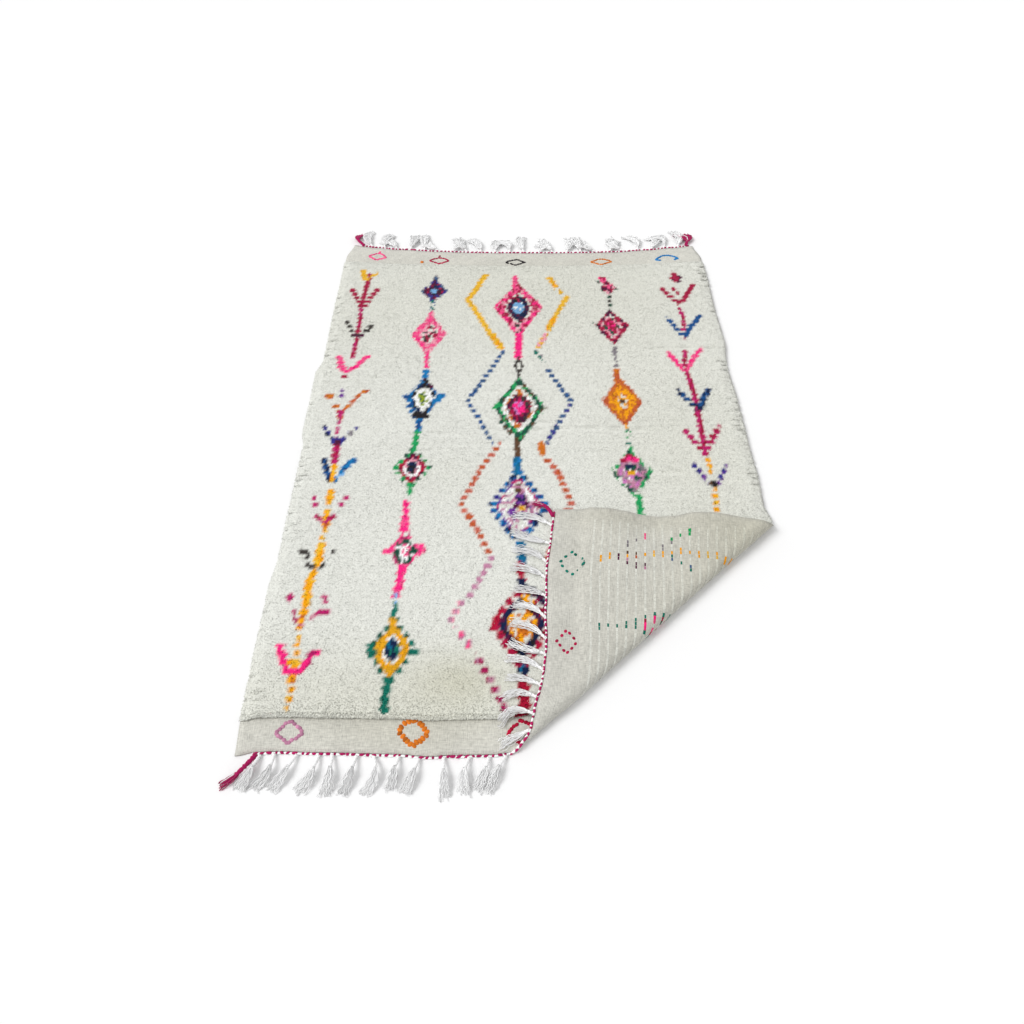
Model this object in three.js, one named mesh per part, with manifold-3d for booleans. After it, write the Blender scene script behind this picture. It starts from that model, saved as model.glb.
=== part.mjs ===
// Azilal rug: a hand-knotted wool rug with plain-woven ends, twined edging cords and
// warp tassels, lying on the floor with its near right corner folded over, back side up.
// Millimetres, +Z up. Origin: the middle of the rug's full rectangle, on the floor.
// +X is to the right and +Y is towards the far end.
// A point of the cloth is named by u, across from the left selvedge, and v, along from
// the near hem.
import * as THREE from "three";
import Module from "manifold-3d";

// Cloth
const WIDTH = 1500;
const LENGTH = 2200;
const WEAVE = 4.5;
const PILE = 13.5;
const NEAR_BAND = 92;
const FAR_BAND = 108;
const PILE_FRONT = 10;
const RIM_WIDTH = 34;
const RIM_SHARE = 0.62;
const LUMP = 1.4;
const LUMP_ACROSS = 92;
const LUMP_ALONG = 71;

// Mesh of the cloth
const COLUMNS = 26;
const PILE_ROWS = 34;
const LOCK_STEP = 13;
const LOCK_LONG = 9;
const LOCK_SHORT = 2;
const FOLD_STEPS = 8;
const FOLD_SNAP = 0.06;

// Fold of the near right corner
const FOLD_START = new THREE.Vector2(-61, -1100);
const FOLD_END = new THREE.Vector2(750, -371);
const CLEARANCE = 4.6;
const BRIDGE = 18;
const EASE = 140;
const HUMP_REACH = 115;

// Radius of the bend, measured to the woven back, along the fold from the near hem
const FOLD = [
  { along: 0, radius: 12 },
  { along: 110, radius: 17 },
  { along: 200, radius: 22 },
  { along: 800, radius: 25 },
  { along: 990, radius: 29 },
  { along: 1090, radius: 33 },
];

// Waves of the flap's free selvedge, above the height at which it rests
const HUMPS = [
  { v: 0, rise: 4 },
  { v: 60, rise: 6 },
  { v: 110, rise: 13 },
  { v: 165, rise: 18 },
  { v: 215, rise: 13 },
  { v: 270, rise: 2 },
  { v: 315, rise: 0 },
  { v: 365, rise: 9 },
  { v: 425, rise: 30 },
  { v: 510, rise: 38 },
  { v: 600, rise: 36 },
  { v: 730, rise: 24 },
];

// How far each selvedge swings out of the straight line
const SELVEDGES = [
  { v: 0, left: -1, right: 0 },
  { v: 90, left: 4, right: 6 },
  { v: 320, left: 6, right: 0 },
  { v: 480, left: 7, right: 14 },
  { v: 580, left: -2, right: 12 },
  { v: 700, left: 0, right: -4 },
  { v: 900, left: 0, right: -4 },
  { v: 1040, left: 0, right: -6 },
  { v: 1100, left: 12, right: -4 },
  { v: 1250, left: 12, right: -2 },
  { v: 1400, left: 14, right: -6 },
  { v: 1470, left: -4, right: -2 },
  { v: 1560, left: -3, right: 10 },
  { v: 1790, left: 0, right: 8 },
  { v: 1950, left: -1, right: 13 },
  { v: 2110, left: 0, right: 14 },
  { v: 2200, left: -6, right: -2 },
];

// How far each hem swings out of the straight line
const HEMS = [
  { u: 0, near: -6, far: 22 },
  { u: 100, near: -4, far: 13 },
  { u: 220, near: 0, far: -2 },
  { u: 400, near: 5, far: -18 },
  { u: 490, near: 12, far: -24 },
  { u: 530, near: 9, far: -27 },
  { u: 640, near: 8, far: -30 },
  { u: 690, near: 3, far: -31 },
  { u: 780, near: -14, far: -32 },
  { u: 900, near: -19, far: -33 },
  { u: 1020, near: -21, far: -31 },
  { u: 1150, near: -10, far: -27 },
  { u: 1290, near: -2, far: -13 },
  { u: 1400, near: -6, far: 3 },
  { u: 1500, near: -8, far: 17 },
];
const SWING_REACH = 260;
const SWING_ROUNDS = 3;

// Edging cord
const CORD_GAP = 0.5;
const CORD_WIDTH = 8;
const CORD_HEIGHT = 6.4;
const NEAR_CORD_START = 44;
const CORD_SPLIT = 684;
const CORD_BREAK = 1;
const FLAP_CORD_END = 1488;
const FAR_CORD_START = 32;
const FAR_CORD_END = 1482;

// Tassels: a twisted neck that opens into strands
const ROOT_WIDTH = 9;
const NECK_WIDTH = 8;
const NECK_HEIGHT = 6;
const NECK_AT = 0.16;
const SPLIT_AT = 0.36;
const SPLIT_WIDTH = 15;
const STRAND_HEIGHT = 3.8;
const MIDDLE_AT = 0.7;
const TIP_SHARE = 0.3;
const SINK = 3;
const LIE_OVER_PILE = 3.6;
const DROP_REACH = 30;

// Tassels on the floor at the near hem, from the left, the first one the cord's own tuft.
// Lean is in degrees to the right.
const NEAR_TASSELS = [
  { u: 49, lean: -42, size: 98, spread: 12, strands: 3 },
  { u: 60, lean: -22, size: 92, spread: 30, strands: 4 },
  { u: 96, lean: -22, size: 88, spread: 26, strands: 4 },
  { u: 152, lean: -26, size: 96, spread: 30, strands: 4 },
  { u: 208, lean: -22, size: 96, spread: 28, strands: 4 },
  { u: 242, lean: -3, size: 96, spread: 30, strands: 4 },
  { u: 302, lean: -14, size: 92, spread: 28, strands: 4 },
  { u: 346, lean: -6, size: 90, spread: 26, strands: 4 },
  { u: 408, lean: -9, size: 80, spread: 28, strands: 4 },
  { u: 458, lean: -17, size: 88, spread: 26, strands: 4 },
  { u: 520, lean: 6, size: 94, spread: 26, strands: 4 },
  { u: 583, lean: -4, size: 86, spread: 26, strands: 4 },
  { u: 632, lean: -19, size: 82, spread: 24, strands: 4 },
  { u: 674, lean: -27, size: 92, spread: 30, strands: 4 },
];

// Tassels of the flap, from the fold to the corner, the last one the cord's tuft. They fall
// to the left over the pile. Lean is in degrees towards the far end.
const FLAP_TASSELS = [
  { u: 768, lean: -24, size: 76, spread: 22, strands: 4 },
  { u: 818, lean: -12, size: 84, spread: 24, strands: 4 },
  { u: 866, lean: 2, size: 86, spread: 24, strands: 4 },
  { u: 906, lean: 15, size: 88, spread: 22, strands: 4 },
  { u: 954, lean: 20, size: 100, spread: 26, strands: 4 },
  { u: 1003, lean: 20, size: 98, spread: 24, strands: 4 },
  { u: 1051, lean: 27, size: 102, spread: 26, strands: 4 },
  { u: 1118, lean: 24, size: 92, spread: 28, strands: 4 },
  { u: 1186, lean: 16, size: 88, spread: 28, strands: 4 },
  { u: 1248, lean: 22, size: 100, spread: 28, strands: 4 },
  { u: 1304, lean: 25, size: 106, spread: 28, strands: 4 },
  { u: 1371, lean: 21, size: 112, spread: 30, strands: 4 },
  { u: 1438, lean: 20, size: 118, spread: 28, strands: 4 },
  { u: 1474, lean: 44, size: 76, spread: 12, strands: 3 },
];

// Tassels of the far hem. Those between the cord's two tufts are spaced evenly.
const FAR_COUNT = 26;
const FAR_FIRST = 84;
const FAR_LAST = 1432;
const FAR_SIZE = 92;
const FAR_SIZE_SWING = 14;
const FAR_SIZE_PACE = 1.7;
const FAR_LEAN = -20;
const FAR_LEAN_SWING = 12;
const FAR_LEAN_PACE = 0.8;
const FAR_SPREAD = 24;
const FAR_STRANDS = 3;
const FAR_TUFTS = [
  { u: 42, lean: -16, size: 84, spread: 12, strands: 2 },
  { u: 1470, lean: -8, size: 78, spread: 28, strands: 4 },
];

// Finishes
const PILE_COLOUR = 0xe9e6dc;
const COTTON_COLOUR = 0xf1f0ee;
const CLOTH_ROUGHNESS = 0.95;

const smooth = (x) => THREE.MathUtils.smoothstep(x, 0, 1);
const mix = THREE.MathUtils.lerp;

// Reads a column of a short table, easing from one row to the next
function lookup(table, key, column, at) {
  const next = table.findIndex((row) => row[key] > at);
  if (next === 0) return table[0][column];
  if (next < 0) return table[table.length - 1][column];
  const [a, b] = [table[next - 1], table[next]];
  return mix(a[column], b[column], smooth((at - a[key]) / (b[key] - a[key])));
}

// Full weight at an edge, none from reach inwards
const edgeWeight = (distance, reach) => 1 - smooth(distance / reach);

// The cloth point u, v on the flat rug, with the swing of its edges
function layFlat(u, v) {
  const left = lookup(SELVEDGES, "v", "left", v) * edgeWeight(u, SWING_REACH);
  const right = lookup(SELVEDGES, "v", "right", v) * edgeWeight(WIDTH - u, SWING_REACH);
  const near = lookup(HEMS, "u", "near", u) * edgeWeight(v, SWING_REACH);
  const far = lookup(HEMS, "u", "far", u) * edgeWeight(LENGTH - v, SWING_REACH);
  return new THREE.Vector2(u - WIDTH / 2 - left + right, v - LENGTH / 2 - near + far);
}

// Thickness without the lumps of the pile: thin in the woven bands, rounded at the selvedges
function evenThickness(u, v) {
  const front = Math.min((v - NEAR_BAND) / PILE_FRONT, (LENGTH - FAR_BAND - v) / PILE_FRONT);
  const rim = smooth(Math.min(u, WIDTH - u) / RIM_WIDTH);
  return WEAVE + PILE * smooth(front) * mix(RIM_SHARE, 1, rim);
}

function thickness(u, v) {
  const even = evenThickness(u, v);
  const lumps = Math.sin(u / LUMP_ACROSS + Math.sin(v / LUMP_ALONG)) * Math.cos(v / LUMP_ALONG);
  return even + (LUMP * lumps * (even - WEAVE)) / PILE;
}

// Place of a point on the fold: how far along it and how far past it
const FOLD_WAY = FOLD_END.clone().sub(FOLD_START).normalize();
const FOLD_OUT = new THREE.Vector2(FOLD_WAY.y, -FOLD_WAY.x);

function foldPlace(u, v) {
  const fromStart = layFlat(u, v).sub(FOLD_START);
  const along = fromStart.dot(FOLD_WAY);
  const past = fromStart.dot(FOLD_OUT);
  return { along, past, radius: lookup(FOLD, "along", "radius", along) };
}

// The u, v of the flat cloth at the floor point x, y, closing in on it from the straight grid
function clothAt(x, y) {
  const spot = new THREE.Vector2(x, y);
  const guess = new THREE.Vector2(x + WIDTH / 2, y + LENGTH / 2);
  for (let round = 0; round < SWING_ROUNDS; round += 1) {
    guess.add(spot.clone().sub(layFlat(guess.x, guess.y)));
  }
  return guess;
}

// Height of what the flap lies on at the floor point x, y, bridging the step at the pile's front
function lowerTop(x, y) {
  const { x: u, y: v } = clothAt(x, y);
  return Math.max(evenThickness(u, v - BRIDGE), evenThickness(u, v), evenThickness(u, v + BRIDGE));
}

// The woven back at u, v in space, and the direction from it through the pile
function backOf(u, v) {
  const { along, past, radius } = foldPlace(u, v);
  if (past <= 0) {
    const flat = layFlat(u, v);
    return { point: new THREE.Vector3(flat.x, flat.y, 0), up: new THREE.Vector3(0, 0, 1) };
  }
  const turn = Math.min(past / radius, Math.PI);
  const over = Math.max(past - Math.PI * radius, 0);
  const out = radius * Math.sin(turn) - over;
  const spot = FOLD_START.clone().addScaledVector(FOLD_WAY, along).addScaledVector(FOLD_OUT, out);
  const hump = lookup(HUMPS, "v", "rise", v) * Math.exp(-(((WIDTH - u) / HUMP_REACH) ** 2));
  const rest = lowerTop(spot.x, spot.y) + CLEARANCE + evenThickness(u, v) + hump;
  const height = mix(radius * (1 - Math.cos(turn)), rest, smooth(over / EASE));
  const sideways = -Math.sin(turn);
  return {
    point: new THREE.Vector3(spot.x, spot.y, height),
    up: new THREE.Vector3(FOLD_OUT.x * sideways, FOLD_OUT.y * sideways, Math.cos(turn)),
  };
}

// The point of the cloth at u, v, raised from the woven back into the pile
function place(u, v, raised) {
  const { point, up } = backOf(u, v);
  return point.addScaledVector(up, raised);
}

// The cloth as polygons in u, v
class Sheet {
  constructor() {
    this.points = [];
    this.polygons = [];
    this.known = new Map();
  }

  point(key, u, v) {
    if (!this.known.has(key)) {
      this.known.set(key, this.points.length);
      this.points.push({ u, v });
    }
    return this.known.get(key);
  }

  // Cuts every polygon where level goes from below zero to above it
  cut(name, level) {
    const levels = this.points.map(({ u, v }) => level(u, v));
    const side = (index) => (Math.abs(levels[index]) < FOLD_SNAP ? 0 : Math.sign(levels[index]));
    const crossing = (a, b) => {
      const [low, high] = a < b ? [a, b] : [b, a];
      const share = levels[low] / (levels[low] - levels[high]);
      const [p, q] = [this.points[low], this.points[high]];
      return this.point(`${name}:${low}:${high}`, mix(p.u, q.u, share), mix(p.v, q.v, share));
    };
    const part = (polygon, sign) => {
      const kept = [];
      polygon.forEach((a, index) => {
        const b = polygon[(index + 1) % polygon.length];
        if (side(a) * sign >= 0) kept.push(a);
        if (side(a) * side(b) < 0) kept.push(crossing(a, b));
      });
      return kept;
    };
    this.polygons = this.polygons.flatMap((polygon) => {
      const signs = polygon.map(side);
      if (!signs.includes(-1) || !signs.includes(1)) return [polygon];
      return [part(polygon, -1), part(polygon, 1)].filter((piece) => piece.length > 2);
    });
  }

  // Each polygon as a fan of triangles, from the corner that gives the fullest ones
  triangles() {
    const area = (a, b, c) => {
      const [p, q, r] = [this.points[a], this.points[b], this.points[c]];
      return (q.u - p.u) * (r.v - p.v) - (q.v - p.v) * (r.u - p.u);
    };
    return this.polygons.flatMap((polygon) => {
      const fans = polygon.map((_, first) => {
        const turned = [...polygon.slice(first), ...polygon.slice(0, first)];
        return turned.slice(1, -1).map((corner, k) => [turned[0], corner, turned[k + 2]]);
      });
      const thinnest = (fan) => Math.min(...fan.map((corners) => area(...corners)));
      return fans.reduce((best, fan) => (thinnest(fan) > thinnest(best) ? fan : best));
    });
  }

  // The edges that belong to one polygon only, in the order that keeps the cloth on the left
  rim() {
    const edgesOf = (polygon) => polygon.map((a, k) => [a, polygon[(k + 1) % polygon.length]]);
    const edges = this.polygons.flatMap(edgesOf);
    const seen = new Set(edges.map(([a, b]) => `${a}:${b}`));
    return edges.filter(([a, b]) => !seen.has(`${b}:${a}`));
  }
}

// A closed body gathered from points and triangles
class Skin {
  constructor() {
    this.positions = [];
    this.faces = [];
  }

  add(point) {
    this.positions.push(point.x, point.y, point.z);
    return this.positions.length / 3 - 1;
  }

  triangle(a, b, c) {
    this.faces.push(a, b, c);
  }

  quad(a, b, c, d) {
    this.faces.push(a, b, c, a, c, d);
  }

  // Walls between two rings of as many points
  wall(lower, upper) {
    lower.forEach((a, k) => {
      const next = (k + 1) % lower.length;
      this.quad(a, lower[next], upper[next], upper[k]);
    });
  }

  // Six times the volume, below zero when the faces point inwards
  turning() {
    const corner = (index) => new THREE.Vector3().fromArray(this.positions, 3 * index);
    let sum = 0;
    for (let k = 0; k < this.faces.length; k += 3) {
      const [a, b, c] = this.faces.slice(k, k + 3).map(corner);
      sum += a.dot(b.cross(c));
    }
    return sum;
  }

  // The faces, turned over where they point inwards
  outward() {
    if (this.turning() > 0) return this.faces;
    return this.faces.map((_, k) => this.faces[k + 2 - 2 * (k % 3)]);
  }
}

// Rows of the cloth's grid: the bands, the step up to the pile, and the pile between
function gridRows() {
  const first = NEAR_BAND + PILE_FRONT;
  const last = LENGTH - FAR_BAND - PILE_FRONT;
  const rows = [0, NEAR_BAND / 2, NEAR_BAND];
  for (let k = 0; k <= PILE_ROWS; k += 1) rows.push(mix(first, last, k / PILE_ROWS));
  return [...rows, LENGTH - FAR_BAND, LENGTH - FAR_BAND / 2, LENGTH];
}

// The whole cloth: a grid with closer points down the selvedges, cut along the bend
function clothSheet() {
  const sheet = new Sheet();
  const rows = gridRows();
  const node = (u, v) => sheet.point(`${u.toFixed(3)}:${v.toFixed(3)}`, u, v);
  const lockPoints = (u, low, high) => {
    const steps = Math.max(Math.round((high - low) / LOCK_STEP), 1);
    return Array.from({ length: steps + 1 }, (_, k) => node(u, mix(low, high, k / steps)));
  };
  for (let row = 0; row + 1 < rows.length; row += 1) {
    const [low, high] = [rows[row], rows[row + 1]];
    for (let column = 0; column < COLUMNS; column += 1) {
      const [a, b] = [column, column + 1].map((k) => (WIDTH * k) / COLUMNS);
      const rightSide = b === WIDTH ? lockPoints(b, low, high) : [node(b, low), node(b, high)];
      const leftSide = a === 0 ? lockPoints(a, low, high) : [node(a, low), node(a, high)];
      sheet.polygons.push([...rightSide, ...leftSide.reverse()]);
    }
  }
  for (let step = 0; step <= FOLD_STEPS; step += 1) {
    const turn = (Math.PI * step) / FOLD_STEPS;
    sheet.cut(`bend${step}`, (u, v) => {
      const { past, radius } = foldPlace(u, v);
      return past / radius - turn;
    });
  }
  return sheet;
}

// Whether the point at v is in the pile and not in a woven band
const inPile = (v) => v > NEAR_BAND && v < LENGTH - FAR_BAND;

// The rug as one solid: pile face, woven back, and locks standing out down the selvedges
function rugSkin(sheet) {
  const skin = new Skin();
  const pile = sheet.points.map(({ u, v }) => skin.add(place(u, v, thickness(u, v))));
  const back = sheet.points.map(({ u, v }) => skin.add(place(u, v, 0)));
  for (const [a, b, c] of sheet.triangles()) {
    skin.triangle(pile[a], pile[b], pile[c]);
    skin.triangle(back[c], back[b], back[a]);
  }
  const locks = new Map();
  const lockAt = (index) => {
    if (!locks.has(index)) {
      const { u, v } = sheet.points[index];
      const long = Math.round(v / LOCK_STEP) % 2 === 0 ? LOCK_LONG : LOCK_SHORT;
      const side = u === 0 ? -1 : Number(u === WIDTH);
      const out = inPile(v) ? side * long : 0;
      locks.set(index, skin.add(place(u + out, v, thickness(u, v) / 2)));
    }
    return locks.get(index);
  };
  for (const [a, b] of sheet.rim()) {
    skin.quad(back[a], back[b], lockAt(b), lockAt(a));
    skin.quad(lockAt(a), lockAt(b), pile[b], pile[a]);
  }
  return skin;
}

// Where the rug's mesh has points on a hem, so that the cord keeps an even gap to it
function hemStations(sheet, v, from, to) {
  const inside = sheet.points.filter((point) => point.v === v).map((point) => point.u);
  const between = inside.filter((u) => u > from && u < to);
  return [from, ...between, to].sort((a, b) => a - b);
}

// The edging cord along a hem. Side is -1 at the near hem and 1 at the far one.
function cordSkin(stations, hem, side) {
  const skin = new Skin();
  const inner = hem + side * CORD_GAP;
  const outer = inner + side * CORD_WIDTH;
  const ring = (u) => [
    skin.add(place(u, inner, 0)),
    skin.add(place(u, outer, 0)),
    skin.add(place(u, outer, CORD_HEIGHT)),
    skin.add(place(u, inner, CORD_HEIGHT)),
  ];
  const rings = stations.map(ring);
  for (let k = 0; k + 1 < rings.length; k += 1) skin.wall(rings[k], rings[k + 1]);
  skin.quad(...rings[0].slice().reverse());
  skin.quad(...rings[rings.length - 1]);
  return skin;
}

// One tassel in its own plane: away is from the hem, across is along it. Lay turns a
// place in that plane and a height over what the tassel rests on into a point.
function tasselSkin({ size, spread, strands }, lay) {
  const skin = new Skin();
  const ring = (away, middle, width, height) => {
    const half = width / 2;
    return [
      skin.add(lay(away, middle - half, 0)),
      skin.add(lay(away, middle + half, 0)),
      skin.add(lay(away, middle + half, height)),
      skin.add(lay(away, middle - half, height)),
    ];
  };
  const root = ring(-SINK, 0, ROOT_WIDTH, NECK_HEIGHT);
  const neck = ring(NECK_AT * size, 0, NECK_WIDTH, NECK_HEIGHT);
  skin.quad(...root.slice().reverse());
  skin.wall(root, neck);
  const edge = (share) => (share - 0.5) * SPLIT_WIDTH;
  const row = (height) => {
    const shares = Array.from({ length: strands + 1 }, (_, k) => k / strands);
    return shares.map((share) => skin.add(lay(SPLIT_AT * size, edge(share), height)));
  };
  const low = row(0);
  const high = row(STRAND_HEIGHT);
  const fan = (from, to, points) => {
    skin.triangle(from, to, points[0]);
    for (let k = 0; k + 1 < points.length; k += 1) skin.triangle(to, points[k + 1], points[k]);
  };
  fan(neck[0], neck[1], low);
  fan(neck[2], neck[3], high.slice().reverse());
  skin.quad(neck[1], neck[2], high[strands], low[strands]);
  skin.quad(neck[3], neck[0], low[0], high[0]);
  const width = SPLIT_WIDTH / strands;
  for (let k = 0; k < strands; k += 1) {
    const share = (k + 0.5) / strands - 0.5;
    const start = [low[k], low[k + 1], high[k + 1], high[k]];
    const bow = share * spread * MIDDLE_AT;
    const middle = ring(MIDDLE_AT * size, bow, width, STRAND_HEIGHT);
    const tip = ring(size, share * spread, width * TIP_SHARE, STRAND_HEIGHT * TIP_SHARE);
    skin.wall(start, middle);
    skin.wall(middle, tip);
    skin.quad(...tip);
  }
  return skin;
}

// The way a tassel lies on the floor from its root on the cord
function layOnFloor(root, lean, side) {
  const turn = THREE.MathUtils.degToRad(lean);
  const way = new THREE.Vector2(Math.sin(turn), side * Math.cos(turn));
  const across = new THREE.Vector2(Math.cos(turn), -side * Math.sin(turn));
  return (away, offset, height) => {
    const spot = root.clone().addScaledVector(way, away).addScaledVector(across, offset);
    return new THREE.Vector3(spot.x, spot.y, height);
  };
}

// The way a tassel of the flap lies over the pile: level on it, and up to the cord at its root
function layOnPile(root, lean) {
  const turn = THREE.MathUtils.degToRad(lean);
  const way = new THREE.Vector2(-Math.cos(turn), Math.sin(turn));
  const across = new THREE.Vector2(-Math.sin(turn), -Math.cos(turn));
  return (away, offset, height) => {
    const spot = new THREE.Vector2(root.x, root.y);
    spot.addScaledVector(way, away).addScaledVector(across, offset);
    const rest = lowerTop(spot.x, spot.y) + LIE_OVER_PILE;
    const hung = root.z - CORD_HEIGHT;
    return new THREE.Vector3(spot.x, spot.y, mix(hung, rest, smooth(away / DROP_REACH)) + height);
  };
}

// Evenly spaced tassels of the far hem, each with its own size and lean
function farTassels() {
  const rows = [];
  for (let k = 0; k < FAR_COUNT; k += 1) {
    rows.push({
      u: mix(FAR_FIRST, FAR_LAST, k / (FAR_COUNT - 1)),
      lean: FAR_LEAN + FAR_LEAN_SWING * Math.sin(FAR_LEAN_PACE * k),
      size: FAR_SIZE + FAR_SIZE_SWING * Math.cos(FAR_SIZE_PACE * k),
      spread: FAR_SPREAD,
      strands: FAR_STRANDS,
    });
  }
  return [...rows, ...FAR_TUFTS];
}

const wasm = await Module();
wasm.setup();

function solidOf(skin) {
  const vertProperties = new Float32Array(skin.positions);
  const triVerts = new Uint32Array(skin.outward());
  return new wasm.Manifold(new wasm.Mesh({ numProp: 3, vertProperties, triVerts }));
}

function geometryOf(positions, faces) {
  const geometry = new THREE.BufferGeometry();
  geometry.setAttribute("position", new THREE.Float32BufferAttribute(positions, 3));
  geometry.setIndex(Array.from(faces));
  geometry.computeVertexNormals();
  return geometry;
}

function namedMesh(name, geometry, colour) {
  const finish = { color: colour, roughness: CLOTH_ROUGHNESS, metalness: 0 };
  const mesh = new THREE.Mesh(geometry, new THREE.MeshStandardMaterial(finish));
  mesh.name = name;
  return mesh;
}

// A cord with its tassels, joined into one body
function fringe(name, cord, tassels) {
  const whole = tassels.reduce((sum, tassel) => sum.add(solidOf(tassel)), solidOf(cord));
  const { vertProperties, triVerts } = whole.getMesh();
  return namedMesh(name, geometryOf(vertProperties, triVerts), COTTON_COLOUR);
}

const sheet = clothSheet();
const rug = rugSkin(sheet);
const nearCord = cordSkin(hemStations(sheet, 0, NEAR_CORD_START, CORD_SPLIT), 0, -1);
const flapStart = CORD_SPLIT + CORD_BREAK;
const flapCord = cordSkin(hemStations(sheet, 0, flapStart, FLAP_CORD_END), 0, -1);
const farStations = hemStations(sheet, LENGTH, FAR_CORD_START, FAR_CORD_END);
const farCord = cordSkin(farStations, LENGTH, 1);
const outerEdge = CORD_GAP + CORD_WIDTH;

const nearTassels = NEAR_TASSELS.map((tassel) => {
  const root = layFlat(tassel.u, -outerEdge);
  return tasselSkin(tassel, layOnFloor(root, tassel.lean, -1));
});
const flapTassels = FLAP_TASSELS.map((tassel) => {
  const root = place(tassel.u, -outerEdge, 0);
  return tasselSkin(tassel, layOnPile(root, tassel.lean));
});
const farTasselSkins = farTassels().map((tassel) => {
  const root = layFlat(tassel.u, LENGTH + outerEdge);
  return tasselSkin(tassel, layOnFloor(root, tassel.lean, 1));
});

const part = new THREE.Group();
part.add(namedMesh("rug", geometryOf(rug.positions, rug.outward()), PILE_COLOUR));
part.add(fringe("fringe_near", nearCord, nearTassels));
part.add(fringe("fringe_flap", flapCord, flapTassels));
part.add(fringe("fringe_far", farCord, farTasselSkins));

export default part;
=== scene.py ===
"""Azilal rug, near right corner folded over: the looks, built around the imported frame.

Lengths in tables and classes are millimetres and meshes are metres. A place on the cloth is
u, across from the left selvedge, and v, along from the near hem. Raised is the height over
the woven back, into the pile. Patterns are charted in centimetres, where the locks lie.
"""

import logging
import math
from dataclasses import dataclass, field
from enum import Enum
from typing import Any

import bpy
import numpy as np
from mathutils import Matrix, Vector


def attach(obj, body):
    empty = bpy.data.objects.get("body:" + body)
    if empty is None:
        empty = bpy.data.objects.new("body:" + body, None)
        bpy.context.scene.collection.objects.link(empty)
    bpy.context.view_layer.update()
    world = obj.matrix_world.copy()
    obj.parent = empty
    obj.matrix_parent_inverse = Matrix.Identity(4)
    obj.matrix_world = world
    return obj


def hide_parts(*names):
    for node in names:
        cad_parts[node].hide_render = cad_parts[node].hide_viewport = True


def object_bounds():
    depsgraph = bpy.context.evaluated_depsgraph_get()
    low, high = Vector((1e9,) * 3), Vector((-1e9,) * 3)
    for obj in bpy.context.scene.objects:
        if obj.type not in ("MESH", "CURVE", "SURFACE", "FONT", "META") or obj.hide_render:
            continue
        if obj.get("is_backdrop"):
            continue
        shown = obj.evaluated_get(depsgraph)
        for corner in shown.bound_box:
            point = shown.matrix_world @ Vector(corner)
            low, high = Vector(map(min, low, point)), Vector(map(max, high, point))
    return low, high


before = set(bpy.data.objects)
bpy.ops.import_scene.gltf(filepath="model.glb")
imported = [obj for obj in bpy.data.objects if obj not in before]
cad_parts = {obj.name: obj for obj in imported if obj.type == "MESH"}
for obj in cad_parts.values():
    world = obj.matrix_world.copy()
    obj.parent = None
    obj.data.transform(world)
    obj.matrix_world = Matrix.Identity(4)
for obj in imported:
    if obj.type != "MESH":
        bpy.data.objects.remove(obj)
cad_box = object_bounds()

Array = np.ndarray
Pair = tuple[float, float]
log = logging.getLogger("rug")

MM = 0.001
CM = 10.0
BODY = "root"
DYE_MAP = "dye"
CLOTH_MAP = "Cloth"
BAKE_MAP = "OFBake"
TINY = 1e-9


class Slot(Enum):
    """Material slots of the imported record."""

    PILE = "wool_pile"
    YARN = "warp_yarn"


class Dye(Enum):
    """Colours of the yarns, as sRGB hex."""

    IVORY = "#e0e1da"
    COTTON = "#fafafa"
    WEFT = "#d2d1c9"
    HOT_PINK = "#fb2585"
    PINK = "#f2588f"
    ROSE = "#eea0b4"
    CRIMSON = "#ab1244"
    RED = "#b20f36"
    MAGENTA = "#bf1f6c"
    CORD = "#ad1a5c"
    PLUM = "#54123c"
    MAUVE = "#c184a2"
    ORCHID = "#d07cc0"
    PURPLE = "#74389a"
    INDIGO = "#34308a"
    NAVY = "#0e2148"
    BLUE = "#14508f"
    AZURE = "#1278b8"
    SKY = "#7db2e2"
    SLATE = "#41618a"
    PETROL = "#0a6a94"
    TEAL = "#0f7565"
    GREEN = "#22a25e"
    PINE = "#1c5241"
    LIME = "#93a52a"
    YELLOW = "#f0bb30"
    AMBER = "#f8a805"
    GOLD = "#e3a51c"
    ORANGE = "#cf7220"
    RUST = "#c25a32"
    CORAL = "#cb6a58"
    BROWN = "#604430"
    CHARCOAL = "#403b38"
    BLACK = "#221d20"
    GREY = "#857f86"


DYES = list(Dye)


def linear(code: str) -> tuple[float, float, float]:
    """Turns an sRGB hex colour to linear values.

    Args:
        code: six hex digits after a hash sign.

    Returns:
        Red, green and blue from 0 to 1.
    """
    shares = [int(code[k : k + 2], 16) / 255 for k in (1, 3, 5)]
    bent = [s / 12.92 if s <= 0.04045 else ((s + 0.055) / 1.055) ** 2.4 for s in shares]
    return bent[0], bent[1], bent[2]


def smooth(x: Array | float) -> Array:
    """Eases from 0 to 1 with level ends."""
    x = np.clip(x, 0.0, 1.0)
    return x * x * (3 - 2 * x)


def mix(a: Array | float, b: Array | float, share: Array | float) -> Array:
    """Goes from a to b by a share."""
    return a + (b - a) * share


def unit(vectors: Array) -> Array:
    """Brings vectors to length one."""
    return vectors / np.maximum(np.linalg.norm(vectors, axis=-1, keepdims=True), TINY)


def bell(rng: np.random.Generator, shape: int | tuple[int, ...], limit: float = 2.0) -> Array:
    """Draws from a bell curve of width one, cut off at the limit to both sides."""
    return rng.normal(0, 1, shape).clip(-limit, limit)


def waver(along: Array, across: Array, lengths: Pair) -> Array:
    """Gives an uneven wave along one way, shifted by a longer wave across it."""
    return np.sin(along / lengths[0] + 2 * np.sin(across / lengths[1]))


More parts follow.
